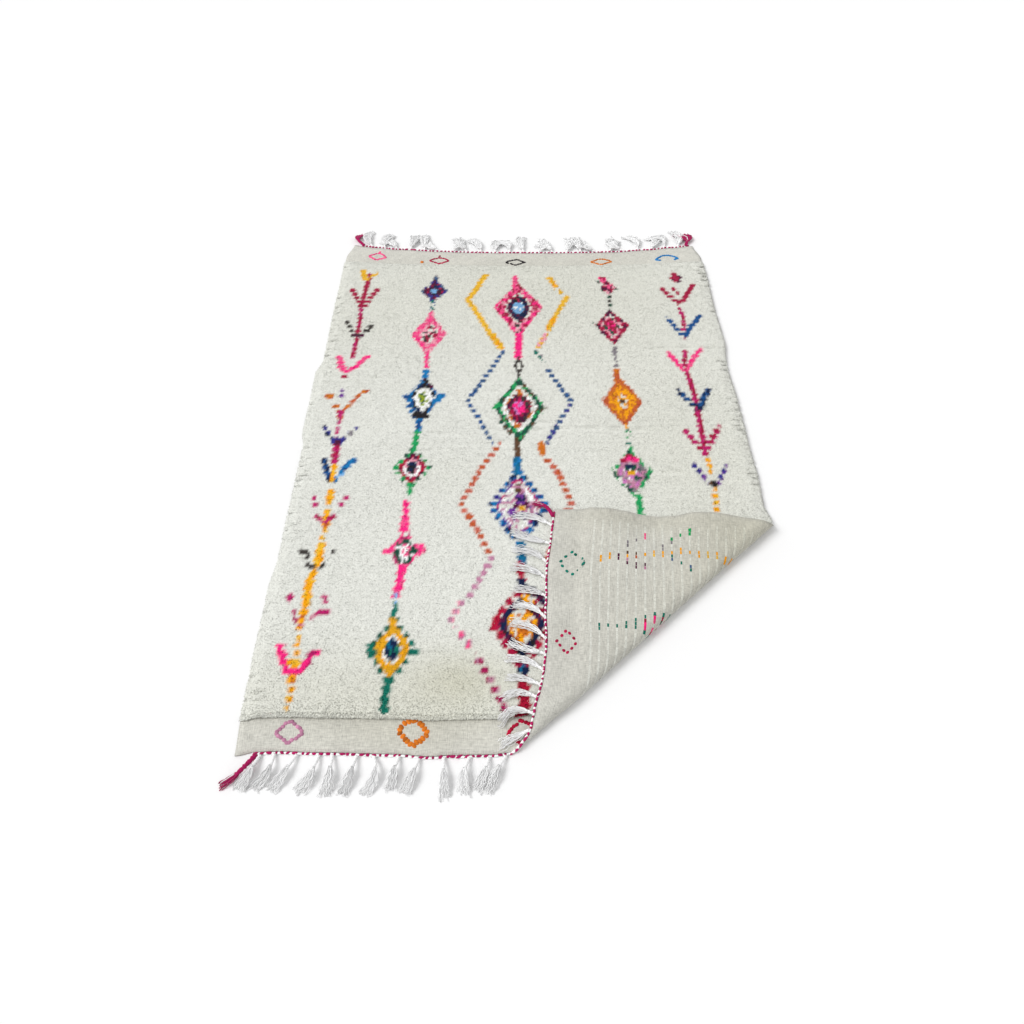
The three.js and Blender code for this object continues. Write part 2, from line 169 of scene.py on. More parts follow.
class Table:
    """A short table with named columns, read by easing from one row to the next."""

    def __init__(self, columns: str, rows: list[tuple[float, ...]]) -> None:
        """Keeps the columns.

        Args:
            columns: the names, the first one the key.
            rows: one tuple for each row, the keys rising.
        """
        self.columns = dict(zip(columns.split(), np.array(rows, float).T))
        self.key = self.columns[columns.split()[0]]

    def read(self, column: str, at: Array | float) -> Array:
        """Reads a column.

        Args:
            column: its name.
            at: where, in the key's unit.

        Returns:
            The eased values, level past the ends.
        """
        values = self.columns[column]
        k = np.clip(np.searchsorted(self.key, at, side="right"), 1, len(self.key) - 1)
        share = smooth((at - self.key[k - 1]) / (self.key[k] - self.key[k - 1]))
        return mix(values[k - 1], values[k], share)

    def rows(self) -> list[dict[str, float]]:
        """Gives each row as a dict of its columns."""
        return [dict(zip(self.columns, row)) for row in zip(*self.columns.values())]


# The radius of the fold's bend, by the way along the fold line from the near hem.
FOLD = Table("along radius", [(0, 12), (110, 17), (200, 22), (800, 25), (990, 29), (1090, 33)])
# How far the flap's free selvedge stands up in waves.
HUMPS = Table("v rise", [
    (0, 4), (60, 6), (110, 13), (165, 18), (215, 13), (270, 2), (315, 0), (365, 9),
    (425, 30), (510, 38), (600, 36), (730, 24),
])
# How far the selvedges and the hems swing outwards.
SELVEDGES = Table("v left right", [
    (0, -1, 0), (90, 4, 6), (320, 6, 0), (480, 7, 14), (580, -2, 12), (700, 0, 4), (770, 0, -12),
    (900, 0, -4), (1040, 0, -6), (1100, 12, -4), (1250, 12, -2), (1400, 14, -6),
    (1470, -4, -2), (1560, -3, 10), (1790, 0, 8), (1950, -1, 13), (2110, 0, 14),
    (2200, -24, -8),
])
HEMS = Table("u near far", [
    (0, 8, 36), (50, -2, 22), (100, -4, 13), (220, 0, -2), (400, 5, -18), (490, 12, -24),
    (530, 9, -27), (640, 8, -30), (690, 3, -31), (780, -14, -32), (900, -19, -33),
    (1020, -21, -31), (1150, -10, -27), (1290, -2, -13), (1400, -6, 3), (1500, -8, 17),
])


@dataclass(frozen=True)
class Cloth:
    """The folded cloth: where each place of the flat rug lies."""

    width: float = 1500.0
    length: float = 2200.0
    weave: float = 4.5
    pile: float = 13.5
    near_band: float = 92.0
    far_band: float = 108.0
    pile_front: float = 10.0
    rim_width: float = 34.0
    rim_share: float = 0.62
    lump: float = 1.4
    lump_across: float = 92.0
    lump_along: float = 71.0
    swing_reach: float = 260.0
    swing_rounds: int = 3
    fold_start: Pair = (-61.0, -1100.0)
    fold_end: Pair = (750.0, -371.0)
    clearance: float = 4.6
    bridge: float = 18.0
    ease: float = 140.0
    hump_reach: float = 115.0

    @property
    def fold_way(self) -> Array:
        """The fold line's direction on the floor."""
        return unit(np.subtract(self.fold_end, self.fold_start))

    @property
    def fold_out(self) -> Array:
        """The direction past the fold line, at right angles to it."""
        return np.array([self.fold_way[1], -self.fold_way[0]])

    def lay_flat(self, u: Array, v: Array) -> Array:
        """Places the cloth before it is folded.

        Args:
            u: across the cloth.
            v: along it.

        Returns:
            Floor points, with the swing of the edges.
        """
        near_edge = {
            "left": 1 - smooth(u / self.swing_reach),
            "right": 1 - smooth((self.width - u) / self.swing_reach),
            "near": 1 - smooth(v / self.swing_reach),
            "far": 1 - smooth((self.length - v) / self.swing_reach),
        }
        left = SELVEDGES.read("left", v) * near_edge["left"]
        right = SELVEDGES.read("right", v) * near_edge["right"]
        near = HEMS.read("near", u) * near_edge["near"]
        far = HEMS.read("far", u) * near_edge["far"]
        x = u - self.width / 2 - left + right
        y = v - self.length / 2 - near + far
        return np.stack([x, y], -1)

    def even_thickness(self, u: Array, v: Array) -> Array:
        """Gives the thickness of weave and pile, without the pile's lumps.

        Args:
            u: across the cloth.
            v: along it.

        Returns:
            The thickness at each place.
        """
        near = (v - self.near_band) / self.pile_front
        far = (self.length - self.far_band - v) / self.pile_front
        rim = smooth(np.minimum(u, self.width - u) / self.rim_width)
        return self.weave + self.pile * smooth(np.minimum(near, far)) * mix(self.rim_share, 1, rim)

    def thickness(self, u: Array, v: Array) -> Array:
        """Gives the thickness of weave and pile, lumps and all.

        Args:
            u: across the cloth.
            v: along it.

        Returns:
            The thickness at each place.
        """
        even = self.even_thickness(u, v)
        lumps = np.sin(u / self.lump_across + np.sin(v / self.lump_along))
        lumps = lumps * np.cos(v / self.lump_along)
        return even + self.lump * lumps * (even - self.weave) / self.pile

    def past_fold(self, u: Array, v: Array) -> tuple[Array, Array]:
        """Measures places from the fold line.

        Args:
            u: across the cloth.
            v: along it.

        Returns:
            How far along the fold line, and how far past it.
        """
        from_start = self.lay_flat(u, v) - np.array(self.fold_start)
        return from_start @ self.fold_way, from_start @ self.fold_out

    def cloth_at(self, x: Array, y: Array) -> tuple[Array, Array]:
        """Finds the flat cloth's place at floor points, closing in on it from a straight grid.

        Args:
            x: across the floor.
            y: along the floor.

        Returns:
            The places' u and v.
        """
        u, v = x + self.width / 2, y + self.length / 2
        for _ in range(self.swing_rounds):
            flat = self.lay_flat(u, v)
            u, v = u + x - flat[..., 0], v + y - flat[..., 1]
        return u, v

    def lower_top(self, x: Array, y: Array) -> Array:
        """Gives the height of what the flap lies on, bridging the step at the pile's front.

        Args:
            x: across the floor.
            y: along the floor.

        Returns:
            The height over the floor.
        """
        u, v = self.cloth_at(x, y)
        steps = (v - self.bridge, v, v + self.bridge)
        return np.max([self.even_thickness(u, at) for at in steps], axis=0)

    def back_of(self, u: Array, v: Array) -> tuple[Array, Array]:
        """Places the woven back.

        Args:
            u: across the cloth.
            v: along it.

        Returns:
            Points of the back, and the directions from it through the pile.
        """
        flat = self.lay_flat(u, v)
        along, past = self.past_fold(u, v)
        radius = FOLD.read("radius", along)
        turn = np.clip(past / radius, 0, math.pi)
        over = np.maximum(past - math.pi * radius, 0)
        out = radius * np.sin(turn) - over
        spot = np.array(self.fold_start) + along[..., None] * self.fold_way
        spot = spot + out[..., None] * self.fold_out
        hump = HUMPS.read("rise", v) * np.exp(-(((self.width - u) / self.hump_reach) ** 2))
        below = self.lower_top(spot[..., 0], spot[..., 1])
        rest = below + self.clearance + self.even_thickness(u, v) + hump
        height = mix(radius * (1 - np.cos(turn)), rest, smooth(over / self.ease))
        folded = (past > 0)[..., None]
        level = np.zeros_like(height)[..., None]
        risen = np.concatenate([spot, height[..., None]], -1)
        point = np.where(folded, risen, np.concatenate([flat, level], -1))
        sideways = -np.sin(turn)[..., None] * self.fold_out
        return point, np.concatenate([sideways, np.cos(turn)[..., None]], -1)

    def place(self, u: Array, v: Array, raised: Array | float) -> Array:
        """Places points of the cloth in space.

        Args:
            u: across the cloth.
            v: along it.
            raised: over the woven back, into the pile.

        Returns:
            The points, in millimetres.
        """
        u, v, raised = np.broadcast_arrays(*(np.asarray(a, float) for a in (u, v, raised)))
        point, up = self.back_of(u, v)
        return point + up * raised[..., None]

    def covered(self, u: Array, v: Array, margin: float) -> Array:
        """Tells which places are hidden between the flap and what it lies on.

        Args:
            u: across the cloth.
            v: along it.
            margin: how far inside the flap's outline a place has to be.

        Returns:
            True where no light or eye gets in.
        """
        along, past = self.past_fold(u, v)
        mirror = np.array(self.fold_start) + along[..., None] * self.fold_way
        mirror = mirror - past[..., None] * self.fold_out
        across, up = self.cloth_at(mirror[..., 0], mirror[..., 1])
        inside = (across < self.width - margin) & (up > margin)
        under = (past < -margin) & inside
        folded = (past > margin) & (u < self.width - margin) & (v > margin)
        return under | folded


@dataclass
class Soup:
    """The points, faces, colours and cloth places of a piece, gathered part by part."""

    points: list[Array] = field(default_factory=list)
    faces: list[Array] = field(default_factory=list)
    colours: list[Array] = field(default_factory=list)
    places: list[Array] = field(default_factory=list)
    count: int = 0

    def add(self, points: Array, faces: list[Array], colours: Array, places: Array) -> None:
        """Adds a part.

        Args:
            points: millimetres, three columns.
            faces: arrays of corners, each with its own number of columns.
            colours: linear, one row for each point.
            places: u and v of each point, where the bake and the weave read them.
        """
        self.points.append(points)
        self.faces += [corners + self.count for corners in faces]
        self.colours.append(np.broadcast_to(colours, points.shape))
        self.places.append(places)
        self.count += len(points)

    def build(self, name: str) -> bpy.types.Object:
        """Makes the mesh object, smooth shaded, with its colours and maps.

        Args:
            name: the piece's name.

        Returns:
            The piece.
        """
        points = np.concatenate(self.points) * MM
        corners = np.concatenate([f.ravel() for f in self.faces]).astype(np.int32)
        counts = np.concatenate([np.full(len(f), f.shape[1]) for f in self.faces])
        starts = np.concatenate([[0], np.cumsum(counts)[:-1]]).astype(np.int32)
        mesh = bpy.data.meshes.new(name)
        mesh.vertices.add(len(points))
        mesh.vertices.foreach_set("co", points.astype(np.float32).ravel())
        mesh.loops.add(len(corners))
        mesh.loops.foreach_set("vertex_index", corners)
        mesh.polygons.add(len(counts))
        mesh.polygons.foreach_set("loop_start", starts)
        mesh.update(calc_edges=True)
        mesh.polygons.foreach_set("use_smooth", np.ones(len(counts), bool))
        places = np.concatenate(self.places)
        low, span = places.min(0), np.ptp(places, axis=0)
        edge = 0.005
        maps = {BAKE_MAP: edge + (1 - 2 * edge) * (places - low) / span, CLOTH_MAP: places * MM}
        for map_name, spots in maps.items():
            layer = mesh.uv_layers.new(name=map_name)
            layer.uv.foreach_set("vector", spots[corners].astype(np.float32).ravel())
        dyes = mesh.color_attributes.new(DYE_MAP, "FLOAT_COLOR", "POINT")
        colours = np.concatenate(self.colours)
        rgba = np.concatenate([colours, np.ones((len(colours), 1))], 1)
        dyes.data.foreach_set("color", rgba.astype(np.float32).ravel())
        piece = bpy.data.objects.new(name, mesh)
        bpy.context.scene.collection.objects.link(piece)
        return piece


def tubes(paths: Array, radii: Array, sides: int) -> tuple[Array, list[Array]]:
    """Sweeps closed round tubes along many paths at once.

    Args:
        paths: tubes by steps by three, in millimetres.
        radii: tubes by steps.
        sides: how many sides a tube has.

    Returns:
        The points, and the faces as quads and end caps.
    """
    number, steps = radii.shape
    along = unit(np.gradient(paths, axis=1))
    side = unit(np.cross(along, [0.0, 0.0, 1.0]))
    up = np.cross(side, along)
    angles = 2 * math.pi * np.arange(sides) / sides
    ring = side[:, :, None] * np.cos(angles)[:, None] + up[:, :, None] * np.sin(angles)[:, None]
    points = paths[:, :, None] + radii[:, :, None, None] * ring
    index = np.arange(number * steps * sides).reshape(number, steps, sides)
    turned = np.roll(index, -1, axis=2)
    walls = np.stack([index[:, :-1], index[:, 1:], turned[:, 1:], turned[:, :-1]], -1)
    caps = np.concatenate([index[:, 0], index[:, -1, ::-1]])
    return points.reshape(-1, 3), [walls.reshape(-1, 4), caps]


def node(
    tree: bpy.types.NodeTree,
    kind: str,
    settings: dict[str, Any] | None = None,
    inputs: dict[str | int, Any] | None = None,
) -> bpy.types.Node:
    """Adds a node with its settings and links.

    Args:
        tree: the material's tree.
        kind: the node's type.
        settings: its own properties.
        inputs: socket values, or sockets to link from.

    Returns:
        The node.
    """
    made = tree.nodes.new(kind)
    for name, value in (settings or {}).items():
        setattr(made, name, value)
    for name, value in (inputs or {}).items():
        if isinstance(value, bpy.types.NodeSocket):
            tree.links.new(value, made.inputs[name])
        else:
            made.inputs[name].default_value = value
    return made


@dataclass(frozen=True)
class Finish:
    """A yarn finish: dyed colour from the mesh, with the fibre's roughness, sheen and relief."""

    name: str
    roughness: float
    sheen: float
    sheen_roughness: float
    fibre_mm: float
    fibre_relief_mm: float
    uneven_mm: float
    uneven_share: float
    specular: float = 0.15
    uneven_detail: float = 3.0
    uneven_span: Pair = (0.3, 0.7)
    fibre_detail: float = 2.0

    def shade(self, tree: bpy.types.NodeTree, dye: Any, height: Any) -> None:
        """Joins colour and relief to the surface shader.

        Args:
            tree: the material's tree.
            dye: the colour's socket.
            height: the relief's socket, in metres.
        """
        bump = node(tree, "ShaderNodeBump", None, {"Height": height, "Distance": 1.0})
        surface = node(
            tree,
            "ShaderNodeBsdfPrincipled",
            None,
            {
                "Base Color": dye,
                "Normal": bump.outputs["Normal"],
                "Roughness": self.roughness,
                "Sheen Weight": self.sheen,
                "Sheen Roughness": self.sheen_roughness,
                "Specular IOR Level": self.specular,
            },
        )
        node(tree, "ShaderNodeOutputMaterial", None, {"Surface": surface.outputs["BSDF"]})

    def dyed(self, tree: bpy.types.NodeTree, place: Any) -> Any:
        """Takes the yarn's dye from the mesh, a little uneven from spot to spot.

        Args:
            tree: the material's tree.
            place: the socket of the places, in metres.

        Returns:
            The colour's socket.
        """
        dye = node(tree, "ShaderNodeVertexColor", {"layer_name": DYE_MAP}).outputs["Color"]
        scale = 1 / (self.uneven_mm * MM)
        size = {"Vector": place, "Scale": scale, "Detail": self.uneven_detail}
        cloud = node(tree, "ShaderNodeTexNoise", None, size).outputs["Fac"]
        spread = {
            "Value": cloud,
            "From Min": self.uneven_span[0],
            "From Max": self.uneven_span[1],
            "To Min": 1 - self.uneven_share,
            "To Max": 1 + self.uneven_share,
        }
        level = node(tree, "ShaderNodeMapRange", None, spread).outputs["Result"]
        parts = {0: dye, "Scale": level}
        return node(tree, "ShaderNodeVectorMath", {"operation": "SCALE"}, parts).outputs["Vector"]

    def fibres(self, tree: bpy.types.NodeTree, place: Any) -> Any:
        """Gives the relief of the fibres.

        Args:
            tree: the material's tree.
            place: the socket of the places, in metres.

        Returns:
            The relief's socket, in metres.
        """
        scale = 1 / (self.fibre_mm * MM)
        size = {"Vector": place, "Scale": scale, "Detail": self.fibre_detail}
        cloud = node(tree, "ShaderNodeTexNoise", None, size).outputs["Fac"]
        parts = {0: cloud, 1: self.fibre_relief_mm * MM}
        return node(tree, "ShaderNodeMath", {"operation": "MULTIPLY"}, parts).outputs["Value"]

    def blank(self) -> bpy.types.Material:
        """Makes a material without nodes.

        Returns:
            The material.
        """
        made = bpy.data.materials.new(self.name)
        made.use_nodes = True
        made.node_tree.nodes.clear()
        return made

    def material(self) -> bpy.types.Material:
        """Makes the material.

        Returns:
            The material.
        """
        made = self.blank()
        tree = made.node_tree
        place = node(tree, "ShaderNodeTexCoord").outputs["Object"]
        self.shade(tree, self.dyed(tree, place), self.fibres(tree, place))
        return made


@dataclass(frozen=True)
class Weave(Finish):
    """Plain weave: warp ribs, weft picks and their slubs, in the cloth's own places."""

    warp_mm: float = 5.2
    weft_mm: float = 3.4
    rib_mm: float = 0.22
    slub_mm: Pair = (3.2, 15.0)
    pick_mm: Pair = (20.0, 3.0)
    slub_relief_mm: float = 1.2
    tone_and_groove_shade: float = 0.62
    patch_mm: float = 120.0
    patch_weight: float = 0.32
    rib_distortion: float = 2.4
    rib_detail: float = 2.0
    rib_detail_scale: float = 0.3

    def ribs(self, tree: bpy.types.NodeTree, place: Any, axis: str, pitch: float) -> Any:
        """Gives the soft ridges of parallel threads, from 0 to 1.

        Args:
            tree: the material's tree.
            place: the cloth's places, in metres.
            axis: X or Y, across the threads.
            pitch: from thread to thread, in millimetres.

        Returns:
            The ridges' socket.
        """
        bands_a_unit = 10 / math.pi
        wave = {
            "Vector": place,
            "Scale": 1 / bands_a_unit / (pitch * MM),
            "Distortion": self.rib_distortion,
            "Detail": self.rib_detail,
            "Detail Scale": self.rib_detail_scale,
        }
        bands = {"wave_type": "BANDS", "bands_direction": axis, "wave_profile": "SIN"}
        return node(tree, "ShaderNodeTexWave", bands, wave).outputs["Fac"]

    def slubs(self, tree: bpy.types.NodeTree, place: Any, size: Pair) -> Any:
        """Gives long uneven spots of yarn, from 0 to 1.

        Args:
            tree: the material's tree.
            place: the cloth's places, in metres.
            size: across and along the cloth, in millimetres.

        Returns:
            The spots' socket.
        """
        scale = {"Vector": place, "Scale": (1 / (size[0] * MM), 1 / (size[1] * MM), 1.0)}
        drawn = node(tree, "ShaderNodeMapping", None, scale).outputs["Vector"]
        cloud = {"Vector": drawn, "Scale": 1.0, "Detail": self.fibre_detail}
        return node(tree, "ShaderNodeTexNoise", None, cloud).outputs["Fac"]

    def total(self, tree: bpy.types.NodeTree, parts: list[tuple[Any, float]]) -> Any:
        """Adds sockets, each times its weight.

        Args:
            tree: the material's tree.
            parts: the sockets and their weights.

        Returns:
            The sum's socket.
        """
        sum_so_far: Any = 0.0
        for socket, weight in parts:
            terms = {0: socket, 1: weight, 2: sum_so_far}
            added = node(tree, "ShaderNodeMath", {"operation": "MULTIPLY_ADD"}, terms)
            sum_so_far = added.outputs["Value"]
        return sum_so_far

    def material(self) -> bpy.types.Material:
        """Makes the material.

        Returns:
            The material.
        """
        made = self.blank()
        tree = made.node_tree
        place = node(tree, "ShaderNodeUVMap", {"uv_map": CLOTH_MAP}).outputs["UV"]
        warp = self.ribs(tree, place, "X", self.warp_mm)
        weft = self.ribs(tree, place, "Y", self.weft_mm)
        slubs = self.slubs(tree, place, self.slub_mm)
        picks = self.slubs(tree, place, self.pick_mm)
        patch = self.slubs(tree, place, (self.patch_mm, self.patch_mm))
        rib, slub = self.rib_mm * MM, self.slub_relief_mm * MM
        relief = [(warp, rib), (weft, rib), (slubs, slub), (picks, slub)]
        height = self.total(tree, [*relief, (self.fibres(tree, place), 1.0)])
        groove = self.tone_and_groove_shade
        # Slubs, picks and patches are the yarn's own uneven tone; the weft's grooves get painted
        # shade.
        tones_and_shade = [(slubs, groove), (picks, groove), (weft, groove / 2), (patch, self.patch_weight)]
        # Each socket is 0.5 on average, so this shift brings the mean tone back to one.
        shift = {0: self.total(tree, tones_and_shade), 1: 1 - sum(weight for _, weight in tones_and_shade) / 2}
        level = node(tree, "ShaderNodeMath", {"operation": "ADD"}, shift).outputs["Value"]
        dye = {0: self.dyed(tree, place), "Scale": level}
        shaded = node(tree, "ShaderNodeVectorMath", {"operation": "SCALE"}, dye)
        self.shade(tree, shaded.outputs["Vector"], height)
        return made


# Hand-spun sheep's wool, cut ends: matt, with a soft halo where light grazes the fibres.
CUT_WOOL = Finish("wool_hand_knotted_cut_pile", 0.92, 0.12, 0.5, 3.0, 0.7, 3.8, 0.15)
# Wool weft beaten tight over cotton warp: flat and dry, ribs too fine to show drawn coarser.
WOVEN_WOOL = Weave("wool_weft_plain_weave", 0.95, 0.2, 0.5, 2.2, 0.25, 26.0, 0.05)
# Plied cotton warp: smoother and whiter than the wool, with a faint sheen along the ply.
PLIED_COTTON = Finish("cotton_warp_plied", 0.8, 0.12, 0.4, 1.1, 0.12, 14.0, 0.03)


PALETTE = np.array([linear(dye.value) for dye in DYES])


def paint(name: Dye, count: int, rng: np.random.Generator, spread: float) -> Array:
    """Gives yarns of one dye, each a little lighter or darker.

    Args:
        name: the dye.
        count: how many yarns.
        rng: the seeded draws.
        spread: the standard deviation of a yarn's brightness.

    Returns:
        Linear colours, one row for each yarn.
    """
    return np.array(linear(name.value)) * rng.normal(1, spread, (count, 1))


@dataclass(frozen=True)
class Knots:
    """How the knots are tied: rows from selvedge to selvedge, their locks lying to the near hem."""

    first_row: float = 124.0
    row_pitch: float = 25.8
    row_count: int = 77
    column_pitch: float = 12.0
    column_count: int = 125
    lie: float = 12.0

    def places(self, before: int = 0) -> tuple[Array, Array]:
        """Gives the places of all knots, row by row.

        Args:
            before: rows to add before the first.

        Returns:
            Their u and v.
        """
        rows, columns = np.indices((self.row_count + before, self.column_count))
        u = (columns.ravel() + 0.5) * self.column_pitch
        return u, self.first_row + (rows.ravel() - before) * self.row_pitch

    def row_seen(self, v: Array) -> Array:
        """Gives the number of the row whose locks cover v, as a real number."""
        return (v + self.lie - self.first_row) / self.row_pitch


KNOTS = Knots()


def picked(dyes: tuple[Dye, ...], pick: Array) -> Array:
    """Gives the number of one of the dyes at each spot, by its tuft's pick from 0 to 1."""
    numbers = np.array([DYES.index(dye) for dye in dyes])
    return numbers[(pick * len(dyes)).astype(int)]


def beads(aside: Array, off_row: Array, dyed: float) -> Array:
    """Tells which spots lie in beads of yarn, one to a row, each a rounded oblong.

    Args:
        aside: from the beads' middle, one at their sides.
        off_row: from the row, in rows.
        dyed: how much of a row a bead fills.

    Returns:
        True inside a bead.
    """
    squareness = 3
    return np.abs(aside) ** squareness + np.abs(2 * off_row / dyed) ** squareness < 1


@dataclass(frozen=True)
class Stroke:
    """A line of dyed knots through stops, which are u and v in turn, in centimetres.

    The dyes mix along it. Dyed is the share of each row that it fills: below one it falls
    apart into single knots, and at one it is a chain with a waist between the knots.
    """

    dyes: tuple[Dye, ...]
    width: float
    stops: tuple[float, ...]
    dyed: float = 1.0
    waist: float = 0.28
    snap: float = 0.25
    cling: float = 0.1
    bead_width: float = 1.1

    def reach(self) -> tuple[Array, Array]:
        """Gives the corners of the box that holds it."""
        stops = np.array(self.stops).reshape(-1, 2)
        return stops.min(0) - self.width, stops.max(0) + self.width

    def choose(self, spots: Array, row: Array, pick: Array) -> tuple[Array, Array]:
        """Tells which spots it dyes, and how.

        Args:
            spots: u and v, in centimetres.
            row: each spot's row, as a real number.
            pick: a number from 0 to 1 for each tuft.

        Returns:
            True where it dyes, and the dyes' numbers.
        """
        off_row = row - np.rint(row)
        whole = self.dyed >= 1
        level = off_row * KNOTS.row_pitch / CM * (self.snap if whole else 1)
        seen = spots - np.stack([np.zeros(len(spots)), level], -1)
        nearest = np.full(len(spots), np.inf)
        stops = np.array(self.stops).reshape(-1, 2)
        for start, end in zip(stops[:-1], stops[1:]):
            way = end - start
            share = np.clip((seen - start) @ way / max(way @ way, TINY), 0, 1)
            nearest = np.minimum(nearest, np.linalg.norm(seen - start - share[:, None] * way, axis=1))
        half = self.width / 2
        if whole:
            inside = nearest < half + self.waist * np.cos(2 * math.pi * off_row)
        else:
            inside = beads(nearest / half / self.bead_width, off_row, self.dyed)
        return inside, picked(self.dyes, pick)


@dataclass(frozen=True)
class Lozenge:
    """A lozenge of dyed rings, in centimetres.

    Each ring is a width and its dyes, from the outline inwards, and the last one fills the
    middle. Dyed is the share of each row that the outline fills. Cling is how far a lock
    takes the dye of its tuft's middle. The sides swell, and run straight to the tips.
    """

    u: float
    top: float
    middle: float
    bottom: float
    half: float
    rings: tuple[tuple[float, tuple[Dye, ...]], ...]
    dyed: float = 1.0
    cling: float = 0.65
    margin: float = 1.5
    swell: float = 1.15
    tip_gain: float = 1.1
    tip_start: float = 0.2

    def reach(self) -> tuple[Array, Array]:
        """Gives the corners of the box that holds it."""
        low, high = (self.u - self.half, self.bottom), (self.u + self.half, self.top)
        return np.array(low) - self.margin, np.array(high) + self.margin

    def inset(self, across: Array, level: Array) -> Array:
        """Gives how far spots lie inside the outline.

        Args:
            across: their u, in centimetres.
            level: their v, in centimetres.

        Returns:
            The depth in centimetres, below zero outside.
        """
        tall = np.where(level > self.middle, self.top - self.middle, self.middle - self.bottom)
        aside = np.abs(across - self.u) / self.half
        along = np.abs(level - self.middle) / tall
        pointed, rounded = aside + along, np.hypot(aside, along) * self.swell
        at_tip = smooth(pointed * self.tip_gain - self.tip_start)
        return (1 - mix(rounded, pointed, at_tip)) * self.half

    def choose(self, spots: Array, row: Array, pick: Array) -> tuple[Array, Array]:
        """Tells which spots it dyes, and how.

        Args:
            spots: u and v, in centimetres.
            row: each spot's row, as a real number.
            pick: a number from 0 to 1 for each tuft.

        Returns:
            True where it dyes, and the dyes' numbers.
        """
        across, level = spots.T
        inset = self.inset(across, level)
        outline, first = self.rings[0]
        chosen = np.full(len(spots), DYES.index(first[0]))
        edge = 0.0
        for width, dyes in self.rings:
            chosen = np.where(inset >= edge, picked(dyes, pick), chosen)
            edge += width
        if self.dyed >= 1:
            return inset >= 0, chosen
        off_row = row - np.rint(row)
        stepped = self.inset(across, level - off_row * KNOTS.row_pitch / CM)
        return (inset > outline) | beads(2 * stepped / outline - 1, off_row, self.dyed), chosen


